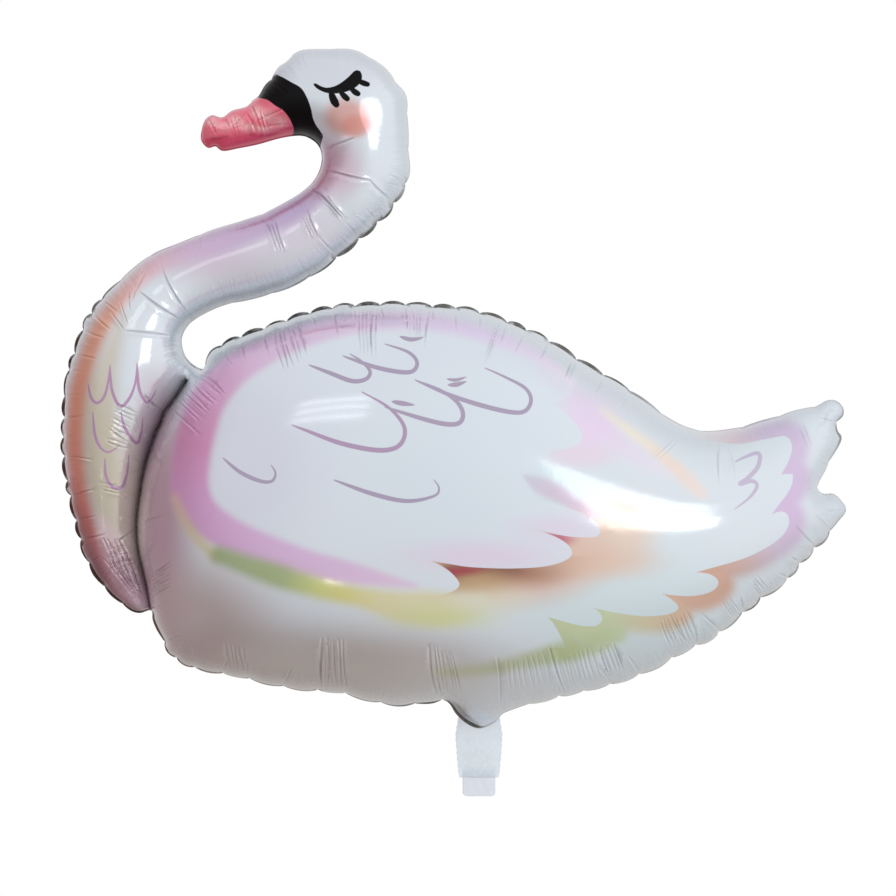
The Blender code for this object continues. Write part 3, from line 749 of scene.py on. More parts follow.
if face_normals[:, 1].sum() > 0:
    triangles, face_normals = triangles[:, ::-1], -face_normals
film_normals = np.zeros_like(base_place)
for corner in range(3):
    np.add.at(film_normals, triangles[:, corner], face_normals)
film_normals /= np.maximum(np.linalg.norm(film_normals, axis=1), 1e-12)[:, None]

settle = np.clip(to_weld / SETTLE, 0, 1) ** SETTLE_POWER * gas
pressed_front, painted_crease_shade = fold_depth(plan, 0.0)
pressed_back, _ = fold_depth(plan, 2.0)
front_place = base_place - film_normals * (pressed_front * settle)[:, None]
back_place = base_place - film_normals * (pressed_back * settle)[:, None]
for place in (front_place, back_place):
    place[~on_cut, 1] = np.minimum(place[~on_cut, 1], -FILM_HALF)
back_place[:, 1] *= -1
front_place[:, 1] += ruffle
back_place[:, 1] += ruffle

# The inks on each point of the films.

seen = flat_to_seen(plan, height)
colours = np.tile(PEARL, (len(plan), 1))


def lay(colour, mask):
    """Prints a colour, or one for each point, where the mask says."""
    global colours
    mask = np.clip(mask, 0, 1)[:, None]
    colours = colours + (colour - colours) * mask


def soft(value, low, high):
    """0 below low to 1 above high, smoothly."""
    share = np.clip((value - low) / (high - low), 0, 1)
    return share * share * (3 - 2 * share)


def shape_mask(runs, blur=INK_EDGE):
    line = drawn(runs)
    away, _ = line_distance(seen, np.vstack([line, line[:1]]), 4 * blur + 6)
    return soft(np.where(within(seen, line), away, -away), -blur, blur)


def spot(x, y, across, down, edge=0.6):
    """A soft ellipse, full in its middle."""
    return 1 - soft(np.hypot((seen[:, 0] - x) / across, (seen[:, 1] - y) / down), 1 - edge, 1 + edge)


def ramp(place, stops):
    """Inks along a line from (place, red, green, blue) stops."""
    spots, *screen = np.array(stops, float).T
    return np.column_stack([np.interp(place, spots, channel) for channel in ink(*screen)])


def band(points, stops, blur, strength=1.0):
    """A soft band along a line of (x, y, half width) points, coloured along its length."""
    line = smooth_line(points, 5.0)
    away, place = line_distance(seen, line, line[:, 2].max() + blur)
    half = np.interp(place, np.linspace(0, 1, len(line)), line[:, 2])
    lay(ramp(place, stops), strength * (1 - soft(away, half - blur, half + blur)))


# The ground: pearl, with a mauve and a brown cast low on the breast and a grey one along the belly, which
# are painted shade, and a green cast aft.
lay(ink(182, 138, 154), 0.8 * spot(160, 520, 26, 130, 0.8) * (seen[:, 0] > 136))
lay(ink(192, 172, 170), 0.75 * spot(185, 632, 75, 60))
lay(ink(182, 168, 158), 0.75 * spot(330, 668, 150, 34, 0.8))
lay(ink(206, 221, 224), 0.70 * spot(620, 605, 110, 60))
lay(ink(205, 222, 226), 0.50 * spot(480, 470, 110, 80))

# The soft bands under the wing and round it.
wing_mask = shape_mask(WING)
edge_line = smooth_line(FEATHER_EDGE, 3.0)
below, along_edge = line_distance(seen, edge_line, 60)
under = (1 - wing_mask) * (1 - soft(below, 10, 50)) * soft(along_edge, 0.0, 0.2)
under *= seen[:, 1] > 470
lay(ramp(along_edge, ((0, 214, 190, 160), (0.3, 216, 184, 152), (0.6, 216, 178, 156),
                      (0.8, 220, 184, 166), (1, 226, 202, 186))), under * 0.9)
below_tips = (1 - wing_mask) * soft(along_edge, 0.1, 0.25) * (seen[:, 1] > 556)
lay(ink(166, 116, 92), below_tips * (1 - soft(below, 3, 27)) * (1 - soft(along_edge, 0.62, 1.0)) * 0.85)
lay(ink(118, 68, 64), below_tips * (1 - soft(below, 1, 15)) * (1 - soft(along_edge, 0.4, 0.66)) * 0.8)
lay(ink(192, 160, 118), below_tips * 0.8 * spot(478, 582, 26, 12, 0.9))
lay(ink(168, 66, 82), below_tips * 0.9 * (1 - soft(below, 0, 9)) * spot(458, 569, 24, 10, 0.7))
lay(ink(222, 190, 170), (1 - wing_mask) * 0.8 * spot(600, 562, 48, 14, 0.9))
lay(ink(190, 96, 120), (1 - wing_mask) * 0.9 * spot(556, 539, 16, 7, 0.7))

lay(ink(230, 208, 232), (1 - wing_mask) * 0.9 * spot(586, 428, 30, 30, 0.7))
lay(ink(226, 210, 222), (1 - wing_mask) * 0.8 * spot(580, 455, 34, 10, 0.7))
band(((540, 372, 5), (562, 386, 7), (584, 406, 9), (610, 434, 9), (640, 458, 8), (668, 472, 6)),
     ((0, 226, 214, 228), (0.5, 226, 206, 230), (1, 226, 220, 230)), 8, 0.8)
band(((524, 477, 2), (540, 485, 8), (560, 495, 8), (580, 507, 6), (600, 516, 4)),
     ((0, 204, 196, 212), (0.4, 206, 184, 204), (1, 216, 190, 204)), 4, 0.8)

lay(WING_PEARL, wing_mask * 0.55)
lay(ink(204, 200, 214), wing_mask * 0.5 * spot(250, 455, 60, 80, 0.8))
lay(ink(226, 202, 224), wing_mask * 0.7 * spot(482, 556, 62, 13, 0.9))
lay(ink(226, 200, 224), wing_mask * 0.5 * spot(560, 528, 40, 12, 0.9))
band(((572, 382, 4), (540, 358, 6), (500, 340, 7), (450, 325, 8), (400, 320, 9), (350, 324, 10),
      (300, 337, 12), (262, 353, 14), (232, 372, 16), (208, 400, 18), (197, 430, 19), (191, 460, 19),
      (190, 488, 19), (200, 512, 18), (222, 530, 17), (250, 543, 15), (280, 554, 14), (310, 564, 13),
      (340, 571, 12), (366, 576, 9), (395, 582, 5), (416, 586, 2)),
     ((0, 232, 222, 236), (0.15, 222, 208, 232), (0.3, 222, 198, 222), (0.42, 214, 188, 214),
      (0.52, 214, 164, 200), (0.60, 211, 146, 186), (0.68, 210, 160, 202), (0.8, 214, 178, 214),
      (1, 222, 196, 220)), 5)
band(((175, 498, 4), (183, 517, 5), (196, 537, 5), (216, 557, 5)),
     ((0, 216, 190, 168), (0.5, 212, 196, 156), (1, 208, 198, 150)), 5, 0.75)
band(((220, 555, 9), (244, 564, 10), (273, 574, 12), (301, 583, 11), (330, 591, 10), (359, 597, 10),
      (400, 606, 15), (430, 608, 17), (455, 608, 15), (480, 604, 9)),
     ((0, 156, 172, 122), (0.25, 162, 176, 118), (0.38, 200, 204, 118), (0.48, 214, 206, 120),
      (0.62, 220, 210, 160), (0.85, 218, 212, 172), (1, 214, 216, 204)), 7, 0.9)
lay(ink(210, 214, 154), 0.75 * spot(444, 618, 44, 10, 0.9))
lay(ink(226, 216, 186), 0.5 * (1 - wing_mask) * spot(492, 600, 32, 11, 0.9))

# The rump's peach line and the tail's band, which is crisp where the tail feathers end.
band(((602, 410, 3), (622, 425, 4), (650, 446, 5), (672, 464, 6), (690, 482, 7), (702, 494, 5)),
     ((0, 232, 224, 214), (0.3, 238, 226, 206), (0.7, 236, 214, 200), (1, 234, 218, 212)), 5, 0.9)
tail_mask = shape_mask(TAIL_FEATHERS)
tail_line = drawn(TAIL_FEATHERS[:8], 3.0)
tail_away, tail_place = line_distance(seen, tail_line, 40)
tail_band = (1 - tail_mask) * (1 - soft(tail_away, 9, 24)) * soft(tail_place, 0.16, 0.24)
lay(ramp(tail_place, ((0, 228, 214, 208), (0.20, 228, 208, 204), (0.27, 206, 190, 214),
                      (0.45, 208, 184, 214), (0.50, 206, 190, 208), (0.54, 204, 176, 172),
                      (0.58, 206, 165, 147), (0.73, 214, 176, 154), (0.79, 208, 196, 166),
                      (0.84, 198, 206, 170), (1, 190, 199, 160))), tail_band)
band(((618, 634, 9), (590, 646, 10), (560, 652, 10), (520, 662, 7), (480, 670, 6), (440, 672, 5)),
     ((0, 190, 202, 156), (0.4, 178, 188, 142), (1, 190, 190, 164)), 6, 0.8)

lay(ink(202, 180, 196), 0.7 * spot(210, 258, 60, 22, 0.8))
lay(ink(210, 190, 206), 0.6 * spot(290, 228, 46, 24, 0.8))
lay(ink(202, 188, 172), 0.85 * spot(122, 500, 26, 72, 0.8) * (1 - soft(seen[:, 0], 136, 150)))
lay(ink(220, 206, 204), 0.8 * spot(136, 530, 14, 80, 0.9) * (1 - soft(seen[:, 0], 136, 152)))

# The neck: lilac and then salmon down its outer edge, an olive stripe beside it, and grey to the weld.
band(((328, 158, 10), (318, 186, 12), (298, 206, 13), (258, 225, 13), (218, 241, 13), (186, 251, 11),
      (154, 266, 9), (126, 292, 8), (104, 322, 9), (90, 352, 9), (80, 388, 10), (76, 425, 10),
      (76, 455, 10), (80, 488, 9), (87, 520, 8), (98, 550, 8), (112, 578, 10), (130, 598, 10)),
     ((0, 196, 172, 190), (0.1, 188, 166, 200), (0.3, 206, 178, 204), (0.4, 222, 182, 184),
      (0.5, 224, 168, 144), (0.65, 220, 148, 124), (0.8, 208, 130, 118), (0.9, 186, 112, 118),
      (1, 180, 124, 138)), 7)
band(((124, 318, 3), (112, 350, 9), (102, 390, 14), (99, 430, 16), (101, 470, 16), (106, 505, 13),
      (114, 535, 9)),
     ((0, 206, 196, 186), (0.4, 200, 188, 164), (0.8, 192, 182, 160), (1, 184, 170, 158)), 9, 0.85)
band(((100, 520, 3), (112, 550, 13), (128, 580, 16), (142, 602, 12)),
     ((0, 214, 190, 194), (0.4, 198, 166, 176), (0.7, 194, 162, 176), (1, 208, 184, 198)), 8, 0.85)

band(((70, 480, 2), (76, 510, 6), (84, 545, 8), (96, 574, 8), (111, 595, 5), (126, 606, 3),
      (138, 611, 2)),
     ((0, 190, 112, 98), (0.3, 160, 84, 82), (0.6, 122, 66, 76), (1, 112, 74, 90)), 6, 0.85)
# Painted shade on the left flank of the belly film's nub over the filling tail.
band(((446, 699, 1), (453, 704, 3), (461, 711, 3.4), (470, 719, 1.5), (478, 724, 0.6)),
     ((0, 110, 104, 106), (0.5, 84, 78, 84), (1, 110, 106, 112)), 1.6, 0.85)
# A paler patch in the neck's crook is painted light.
lay(ink(228, 236, 242), 0.6 * spot(168, 345, 20, 26, 0.8))

# The face.
lay(ink(206, 204, 214), 0.5 * spot(335, 62, 60, 22, 0.8))
lay(ink(204, 164, 182), 0.75 * spot(334, 168, 24, 28, 0.7))
lay(ink(214, 160, 150), 0.9 * spot(346, 117, 21, 18, 0.4))
lay(ink(212, 138, 126), 0.8 * spot(356, 126, 14, 11, 0.4))
lay(BLACK, shape_mask(MASK))
beak_mask = shape_mask(BEAK)
beak_grain = 0.5 + 0.5 * np.sin(seen[:, 0] * 0.55) * np.sin(seen[:, 1] * 0.9 + seen[:, 0] * 0.2)
lay(ink(240, 116, 136), beak_mask)
# Painted highlights: paler gleams on the beak's creases.
for x, y, across, down in BEAK_GLEAMS:
    lay(ink(248, 196, 196), beak_mask * (0.5 + 0.4 * beak_grain) * spot(x, y, across, down, 0.9))
lay(ink(228, 84, 114), beak_mask * shape_mask(LOWER_BEAK, 0.8))
mouth_away, _ = line_distance(seen, smooth_line(MOUTH, 2.0), 6)
lay(ink(190, 56, 86), beak_mask * (1 - soft(mouth_away, 0.2, 1.6)) * 0.8)
lay(BLACK, shape_mask(EYELID))

for colour, stroke in drawn_strokes:
    away, place = line_distance(seen, stroke, 6)
    half = np.interp(place, np.linspace(0, 1, len(stroke)), stroke[:, 2])
    lay(colour, 1 - soft(away - half, -INK_EDGE, INK_EDGE))

# Bare foil shows along the hem, most of all on the scallops, in a dark colour that is a painted reflection,
# and in the neck's weld, where that colour is painted shade. Fine puckers run in from the weld, and
# weld_run is how far round the swan they lie.
PUCKER_REACH = 0.030
LAND_PAINTED_SHADE = 0.8
over_weld = np.clip(to_cut / hem_width[hem_step], 0, 3)
bare = np.minimum(1, hem_tone[hem_step] * 1.4) * (1 - soft(over_weld, 1.0, 1.12))
bare *= 0.45 + 0.55 * scallop[hem_step]
# The land takes the dark foil colour as painted shade in the groove between the neck and the body.
bare[within(plan, land_line) | (land_ring.near(plan)[0] < 1e-6)] = LAND_PAINTED_SHADE
puckers = soft(over_weld, 1.0, 1.3) * np.clip(1 - to_weld / PUCKER_REACH, 0, 1) * gas
weld_run = hem_step * EDGE_SPACING

plan_mesh = bpy.data.meshes.new("swan_envelope")
plan_mesh.from_pydata([tuple(p) for p in base_place], [], [tuple(int(i) for i in t) for t in triangles])
for name, values in (("front_place", front_place), ("back_place", back_place)):
    plan_mesh.attributes.new(name, "FLOAT_VECTOR", "POINT").data.foreach_set("vector", values.ravel())
for name, values in (("bare", bare), ("painted_crease_shade", painted_crease_shade), ("puckers", puckers), ("weld_run", weld_run)):
    plan_mesh.attributes.new(name, "FLOAT", "POINT").data.foreach_set("value", values)
inks = plan_mesh.attributes.new("inks", "FLOAT_COLOR", "POINT")
inks.data.foreach_set("color", np.column_stack([colours, np.ones(len(plan))]).ravel())


class Nodes:
    """A node tree, with one method that adds any node by its type, settings and socket values."""

    def __init__(self, tree):
        self.tree = tree

    def add(self, kind, settings=(), **sockets):
        node = self.tree.nodes.new(kind)
        for name, value in dict(settings).items():
            setattr(node, name, value)
        for name, value in sockets.items():
            self.plug(node, name, value)
        return node

    def plug(self, node, name, value):
        socket = node.inputs[int(name[1:]) if name[:1] == "_" else name.replace("_", " ")]
        if isinstance(value, Shade):
            value = value.socket
        if isinstance(value, bpy.types.NodeSocket):
            self.tree.links.new(value, socket)
        else:
            socket.default_value = value


class Shade:
    """A number that varies over a surface. Sums, products and differences of it add Math nodes."""

    def __init__(self, nodes, socket):
        self.nodes, self.socket = nodes, socket

    def maths(self, operation, first, second):
        node = self.nodes.add("ShaderNodeMath", {"operation": operation}, _0=first, _1=second)
        return Shade(self.nodes, node.outputs[0])

    def __add__(self, other):
        return self.maths("ADD", self, other)

    def __mul__(self, other):
        return self.maths("MULTIPLY", self, other)

    def __sub__(self, other):
        return self.maths("SUBTRACT", self, other)

    def __rsub__(self, other):
        return self.maths("SUBTRACT", other, self)

    __radd__, __rmul__ = __add__, __mul__

    def at_most(self, limit):
        return self.maths("MINIMUM", self, limit)


def noise(nodes, vector, scale, detail):
    made = nodes.add("ShaderNodeTexNoise", Vector=vector, Scale=scale, Detail=detail)
    return Shade(nodes, made.outputs["Fac"])


def eased(nodes, value, start, end, easing="SMOOTHSTEP"):
    """0 up to the start, 1 from the end on."""
    made = nodes.add("ShaderNodeMapRange", {"interpolation_type": easing}, Value=value,
                     From_Min=start, From_Max=end)
    return Shade(nodes, made.outputs[0])


def mixed(nodes, share, under, over, blend="MIX"):
    """One colour laid over another. _6 and _7 are the Mix node's two colours."""
    made = nodes.add("ShaderNodeMix", {"data_type": "RGBA", "blend_type": blend}, Factor=share,
                     _6=under, _7=over)
    return made.outputs[2]


def blown_films_tree():
    """Blows up the flat plan into both films and welds them along their cut edge."""
    tree = bpy.data.node_groups.new("blown_films", "GeometryNodeTree")
    interface = tree.interface
    interface.new_socket("Plan", in_out="INPUT", socket_type="NodeSocketGeometry")
    interface.new_socket("Weld Distance", in_out="INPUT", socket_type="NodeSocketFloat")
    interface.new_socket("Finish", in_out="INPUT", socket_type="NodeSocketMaterial")
    interface.new_socket("Films", in_out="OUTPUT", socket_type="NodeSocketGeometry")
    nodes = Nodes(tree)
    given = nodes.add("NodeGroupInput")
    films = []
    for name in ("front_place", "back_place"):
        place = nodes.add("GeometryNodeInputNamedAttribute", {"data_type": "FLOAT_VECTOR"}, Name=name)
        film = nodes.add("GeometryNodeSetPosition", Geometry=given.outputs["Plan"],
                         Position=place.outputs[0])
        films.append(film.outputs[0])
    films[1] = nodes.add("GeometryNodeFlipFaces", Mesh=films[1]).outputs[0]
    joined = nodes.add("GeometryNodeJoinGeometry")
    for film in films:
        tree.links.new(film, joined.inputs[0])
    welded = nodes.add("GeometryNodeMergeByDistance", Geometry=joined.outputs[0],
                       Distance=given.outputs["Weld Distance"])
    whole = nodes.add("GeometryNodeRealizeInstances", Geometry=welded.outputs[0])
    finished = nodes.add("GeometryNodeSetMaterial", Geometry=whole.outputs[0],
                         Material=given.outputs["Finish"])
    out = nodes.add("NodeGroupOutput")
    tree.links.new(finished.outputs[0], out.inputs[0])
    return tree


def new_material(name, **fixed):
    """A material, its nodes and its Principled shader, with the values that are the same all over."""
    made = bpy.data.materials.new(name)
    made.use_nodes = True
    nodes, shader = Nodes(made.node_tree), made.node_tree.nodes["Principled BSDF"]
    for socket, value in fixed.items():
        nodes.plug(shader, socket, value)
    return made, nodes, shader


PEARL_CLOUD = (0.92, 0.96, 1.0, 1.0)
CREASE_SHADE = (0.22, 0.20, 0.24, 1.0)
# The bare foil's colours are dark: a painted reflection of the room that the silver mirrors.
FOIL_PAINTED_REFLECTION_BREAST = (0.080, 0.045, 0.034, 1.0)  # painted reflection: the bare hem mirrors a darker, redder room on the breast
FOIL_PAINTED_REFLECTION_BODY = (0.120, 0.115, 0.100, 1.0)
FOIL_TURNS = (-0.36, -0.30)  # from the one to the other along x


def printed_film_finish():
    """Pearl printed film: satin, half metallic, painted shade in its creases, bare silver along the hem
    with a painted dark reflection.
    """
    made, nodes, shader = new_material("printed_film", Specular_IOR_Level=0.15, Coat_Roughness=0.05,
                                       Coat_IOR=1.5)
    place = nodes.add("ShaderNodeTexCoord").outputs["Object"]
    given = {name: nodes.add("ShaderNodeAttribute", {"attribute_name": name}) for name in
             ("inks", "bare", "painted_crease_shade", "puckers", "weld_run")}
    silver, valley, pucker, run = (Shade(nodes, given[name].outputs["Fac"]) for name in
                                   ("bare", "painted_crease_shade", "puckers", "weld_run"))

    cloud, fine, ripple = (noise(nodes, place, scale, detail) for scale, detail in
                           ((9.0, 3.0), (420.0, 2.0), (38.0, 3.0)))
    across_hem = nodes.add("ShaderNodeCombineXYZ", X=run, Y=pucker * 0.004, Z=0.0).outputs[0]
    gathers = noise(nodes, across_hem, 210.0, 2.0) * pucker * noise(nodes, across_hem, 26.0, 1.0)
    pearl = mixed(nodes, cloud * 0.35, given["inks"].outputs["Color"], PEARL_CLOUD, "MULTIPLY")
    along = nodes.add("ShaderNodeSeparateXYZ", Vector=place).outputs["X"]
    # The bare foil's dark colour, redder on the breast, is a painted reflection.
    foil_painted_reflection = mixed(nodes, eased(nodes, along, *FOIL_TURNS, "LINEAR"), FOIL_PAINTED_REFLECTION_BREAST, FOIL_PAINTED_REFLECTION_BODY)
    film = mixed(nodes, silver, pearl, foil_painted_reflection)
    # Painted shade: the creases' valleys darken the base colour.
    nodes.plug(shader, "Base_Color", mixed(nodes, valley * 0.6, film, CREASE_SHADE, "MULTIPLY"))
    nodes.plug(shader, "Metallic", silver * 0.40 + 0.50)
    nodes.plug(shader, "Roughness", fine * 0.03 + cloud * 0.04 + pucker * 0.28 + 0.07)
    ink_light = Shade(nodes, nodes.add("ShaderNodeRGBToBW", Color=film).outputs[0])
    nodes.plug(shader, "Coat Weight", (ink_light * 2.0).at_most(0.8) + 0.02)
    relief = ripple * 0.3 + fine * 0.03 + gathers * 6.0
    bump = nodes.add("ShaderNodeBump", Strength=0.5, Distance=0.001, Height=relief)
    nodes.plug(shader, "Normal", bump.outputs[0])
    return made


def plain_mesh(made):
    """The object's evaluated mesh in place of its modifiers."""
    bpy.context.view_layer.update()
    mesh = bpy.data.meshes.new_from_object(made.evaluated_get(bpy.context.evaluated_depsgraph_get()))
    made.modifiers.clear()
    made.data = mesh
    return mesh


printed_film = printed_film_finish()
envelope = bpy.data.objects.new("swan_envelope", plan_mesh)
bpy.context.scene.collection.objects.link(envelope)
blow_up = envelope.modifiers.new("blown_films", "NODES")
blow_up.node_group = blown_films_tree()
inputs = {item.name: item.identifier for item in blow_up.node_group.interface.items_tree}
blow_up[inputs["Weld Distance"]] = 1e-6
blow_up[inputs["Finish"]] = printed_film
envelope_mesh = plain_mesh(envelope)
for name in ("front_place", "back_place"):
    envelope_mesh.attributes.remove(envelope_mesh.attributes[name])
envelope_mesh.shade_smooth()
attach(envelope, "root")
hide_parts("swan_balloon")

# The filling tail. The same two films run down from the belly as a flat neck for the pump's nozzle. It is
# welded down both sides, open at its mouth and unprinted, and it crinkles where fingers held it.

TAIL_TOP = 0.026
TAIL_LENGTH = 0.046
# Levels and half widths, down to the mouth.
TAIL_HALF_WIDTHS = ((0.026, 0.0215), (0.012, 0.0235), (0.0, 0.0255), (-0.021, 0.0240), (-0.039, 0.0225),
                    (-0.046, 0.0212))
TAIL_HALF_THICKNESS = 0.0011
TAIL_EDGE = 0.0003  # half thickness where the films are pressed together
TAIL_JOINT = -0.003  # where it comes out from under the hem
TAIL_GRID = (48, 64)  # points across and down
BACK_WAVE = 0.00014  # the back film isn't quite the front one's mirror
MILK_DIM = 0.92  # the film's tone where it is clearest


def flat_tube(name, top, bottom, half_width, half_thickness, grid_size):
    """A closed flat tube: both films on one grid, pressed together down its sides."""
    across, down = grid_size
    shares, heights = np.linspace(-1, 1, across), np.linspace(top, bottom, down)
    x = np.array([[half_width(level) * share for share in shares] for level in heights])
    y = np.array([[half_thickness(share, level) for share in shares] for level in heights])
    z = np.repeat(heights[:, None], across, 1)
    front = np.stack([x, -y, z], 2).reshape(-1, 3)
    back = front * (1, -1, 1)
    back[:, 1] += np.tile(BACK_WAVE * np.sin(shares * 9) * (np.abs(shares) < 0.98), down)
    grid = np.arange(across * down).reshape(down, across)
    quads = np.stack([grid[:-1, :-1], grid[1:, :-1], grid[1:, 1:], grid[:-1, 1:]], 2).reshape(-1, 4)
    count = across * down
    border = np.concatenate([grid[0, :-1], grid[:-1, -1], grid[-1, :0:-1], grid[:0:-1, 0]])
    rim = np.stack([border, np.roll(border, -1), np.roll(border, -1) + count, border + count], 1)
    points, faces = np.vstack([front, back]), np.vstack([quads, quads[:, ::-1] + count, rim])
    mesh = bpy.data.meshes.new(name)
    mesh.from_pydata([tuple(p) for p in points], [], [tuple(int(i) for i in f) for f in faces])
    mesh.shade_smooth()
    made = bpy.data.objects.new(name, mesh)
    bpy.context.scene.collection.objects.link(made)
    return made


def tail_half_width(z):
    levels, widths = zip(*TAIL_HALF_WIDTHS[::-1])
    waver = 0.0003 * math.sin(z * 900) + 0.0002 * math.sin(z * 2300 + 1)
    return np.interp(z, levels, widths) + waver


def tail_half_thickness(s, z):
    channel = 1 - min(1, abs(s) / 0.9) ** 4
    crinkle = 0.22 * math.sin(7 * s + 260 * z) * math.sin(420 * z + 3 * s)
    crinkle += 0.12 * math.sin(19 * s - 500 * z)
    crinkle *= min(1, max(0, (0.010 - z) / 0.012))
    opened = min(1, max(0, (TAIL_JOINT - z) / 0.006))
    return TAIL_EDGE + (TAIL_HALF_THICKNESS - TAIL_EDGE) * channel * (1 + crinkle) * opened


def clear_film_finish(name, colour, alpha, fades=None):
    """Unprinted film, milky where its two layers lie on each other. It may fade out between two levels."""
    made, nodes, shader = new_material(name, Coat_Weight=0.5, Coat_Roughness=0.06)
    place = nodes.add("ShaderNodeTexCoord").outputs["Object"]
    cloud, fold = noise(nodes, place, 60.0, 4.0), noise(nodes, place, 150.0, 2.0)
    clearest = (*[MILK_DIM * channel for channel in colour], 1.0)
    nodes.plug(shader, "Base_Color", mixed(nodes, cloud, clearest, (*colour, 1.0)))
    nodes.plug(shader, "Roughness", cloud * 0.2 + 0.15)
    seen_share = cloud * 0.15 + alpha
    if fades:
        level = nodes.add("ShaderNodeSeparateXYZ", Vector=place).outputs["Z"]
        seen_share = seen_share * (1 - eased(nodes, level, *fades))
    nodes.plug(shader, "Alpha", seen_share)
    bump = nodes.add("ShaderNodeBump", Strength=0.4, Distance=0.0008, Height=cloud + fold * 0.4)
    nodes.plug(shader, "Normal", bump.outputs[0])
    return made


tail = flat_tube("filling_tail", TAIL_TOP, -TAIL_LENGTH, tail_half_width, tail_half_thickness, TAIL_GRID)
tail.data.materials.append(clear_film_finish("tail_film", (0.83, 0.92, 1.0), 0.48))
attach(tail, "root")

# The valve's sleeve. Two clear films welded into a flat channel lie inside the filling tail and close
# against each other under the gas. The sleeve's cut end shows below the tail's mouth, and inside the tail
# it is lost to sight.

SLEEVE_HALF_WIDTH = 0.0178
SLEEVE_TOP = -0.0165
SLEEVE_BOTTOM = -0.0663
SLEEVE_FADES = (-TAIL_LENGTH, (SLEEVE_TOP - TAIL_LENGTH) / 2)
SLEEVE_CORNER = 0.0050
CORNER_SHARE = 0.8
SLEEVE_GRID = (30, 50)


def sleeve_half_width(z):
    rounding = max(0, 1 - max(z - SLEEVE_BOTTOM, 0) / SLEEVE_CORNER)
    return SLEEVE_HALF_WIDTH - SLEEVE_CORNER * (1 - math.sqrt(max(0, 1 - rounding**2))) * CORNER_SHARE


def sleeve_half_thickness(s, z):
    return 0.0001 + 0.0003 * (1 - abs(s) ** 6) * (1 + 0.3 * math.sin(11 * s + 300 * z))


sleeve = flat_tube("valve_sleeve_film", SLEEVE_TOP, SLEEVE_BOTTOM, sleeve_half_width, sleeve_half_thickness,
                   SLEEVE_GRID)
sleeve.data.materials.append(clear_film_finish("sleeve_film", (0.84, 0.90, 0.98), 0.54, SLEEVE_FADES))
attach(sleeve, "root")
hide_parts("valve_sleeve")

# The pale floor far under the floating swan, the soft lights it mirrors and the camera. None of it belongs
# to the object.

FLOOR_LEVEL = -0.75
FLOOR_RADIUS = 1.0
FLOOR_SIDES = 96
LIGHT_AIM = Vector((0, 0, 0.3))
LIGHT_DISTANCE = 6.0

floor_mesh = bpy.data.meshes.new("floor")
turns = np.linspace(0, 2 * math.pi, FLOOR_SIDES, endpoint=False)
floor_mesh.from_pydata([(FLOOR_RADIUS * math.cos(a), FLOOR_RADIUS * math.sin(a), 0.0) for a in turns],
                       [], [tuple(range(FLOOR_SIDES))])
floor = bpy.data.objects.new("floor", floor_mesh)
floor.location.z = FLOOR_LEVEL
bpy.context.scene.collection.objects.link(floor)
paper, paper_nodes, paper_shader = new_material("floor_paper", Base_Color=(0.66, 0.62, 0.58, 1),
                                                Roughness=0.9)
on_floor = paper_nodes.add("ShaderNodeTexCoord").outputs["Object"]
from_middle = paper_nodes.add("ShaderNodeVectorMath", {"operation": "LENGTH"}, _0=on_floor).outputs["Value"]
paper_nodes.plug(paper_shader, "Alpha", 1 - eased(paper_nodes, from_middle, FLOOR_RADIUS / 4, FLOOR_RADIUS))
floor_mesh.materials.append(paper)


def softbox(name, azimuth, elevation, size, power):
    """A soft area light, placed by its direction from the swan in degrees, 0 towards the camera."""
    azimuth, elevation = math.radians(azimuth), math.radians(elevation)
    way = Vector((math.sin(azimuth) * math.cos(elevation), -math.cos(azimuth) * math.cos(elevation),
                  math.sin(elevation)))
    light = bpy.data.lights.new(name, "AREA")
    light.shape = "RECTANGLE"
    light.size, light.size_y = size
    light.energy = power
    made = bpy.data.objects.new(name, light)
    bpy.context.scene.collection.objects.link(made)
    made.location = LIGHT_AIM + way * LIGHT_DISTANCE
    made.rotation_euler = way.to_track_quat("Z", "Y").to_euler()


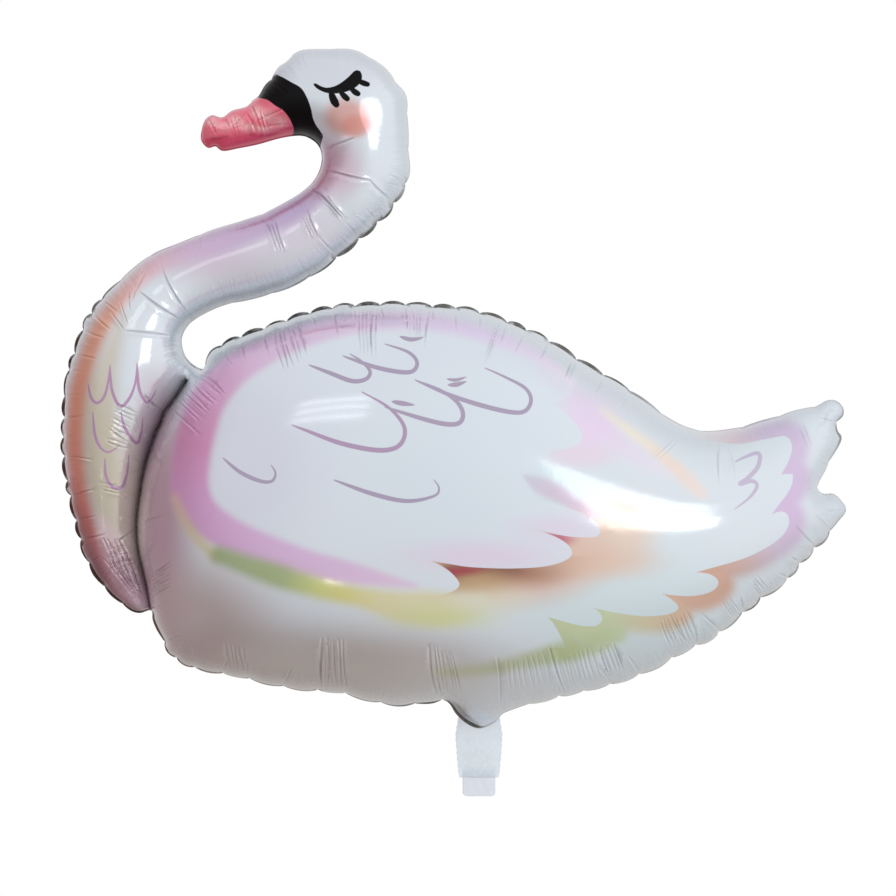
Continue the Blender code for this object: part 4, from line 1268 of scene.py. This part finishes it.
softbox("window_low", 25.0, 2.6, (1.9, 0.66), 6.4)
softbox("window_high", 23.5, 10.2, (1.9, 0.95), 4.6)
softbox("lamp", -12.0, -18.5, (0.08, 0.05), 0.13)
for number, elevation in enumerate((20.4, 23.6, 26.8)):
    softbox("strip_" + str(number), -14.0, elevation, (1.3, 0.14), 0.45)

world = bpy.data.worlds.new("studio")
bpy.context.scene.world = world
world.use_nodes = True
studio = Nodes(world.node_tree)
direction = studio.add("ShaderNodeTexCoord").outputs["Generated"]

# What the film mirrors: a pale room, and on it a colour around each direction, by the cosines to that
# direction at which the colour begins and is full. The camera itself sees plain white.
ROOM = (
    ((0.80, 0.80, 0.80), (0, 0, -1), (-0.3, 0.8)),
    ((0.76, 0.77, 0.79), (0, 1, 0), (-0.2, 0.6)),
    ((0.58, 0.56, 0.54), (0, 0.75, -0.65), (0.6, 0.97)),
    ((1.12, 1.13, 1.14), (0.72, -0.65, 0.2), (0.55, 0.98)),
    ((0.36, 0.29, 0.28), (-0.66, -0.15, -0.72), (0.35, 0.95)),
    ((0.50, 0.43, 0.44), (-1, 0.1, 0.0), (0.45, 0.98)),
)
room = (0.97, 0.99, 1.01, 1.0)
for colour, aim, (begins, full) in ROOM:
    cosine = studio.add("ShaderNodeVectorMath", {"operation": "DOT_PRODUCT"},
                        _0=direction, _1=Vector(aim).normalized()).outputs["Value"]
    room = mixed(studio, eased(studio, cosine, begins, full), room, (*colour, 1.0))
seen_by_camera = studio.add("ShaderNodeLightPath").outputs["Is Camera Ray"]
backdrop = mixed(studio, seen_by_camera, room, (1.0, 1.0, 1.0, 1.0))
studio.plug(world.node_tree.nodes["Background"], "Color", backdrop)

IMAGE_SIDE = 896
camera = bpy.data.objects.new("camera", bpy.data.cameras.new("camera"))
bpy.context.scene.collection.objects.link(camera)
view_x, view_z = placed([VIEW_CENTRE])[0]
camera.location = (view_x, -VIEW_DISTANCE, view_z)
camera.rotation_euler = (math.pi / 2, 0, 0)
camera.data.sensor_width = 36.0
camera.data.lens = camera.data.sensor_width * VIEW_DISTANCE / (IMAGE_SIDE * STEP)
bpy.context.scene.camera = camera
bpy.context.scene.view_settings.view_transform = "Standard"
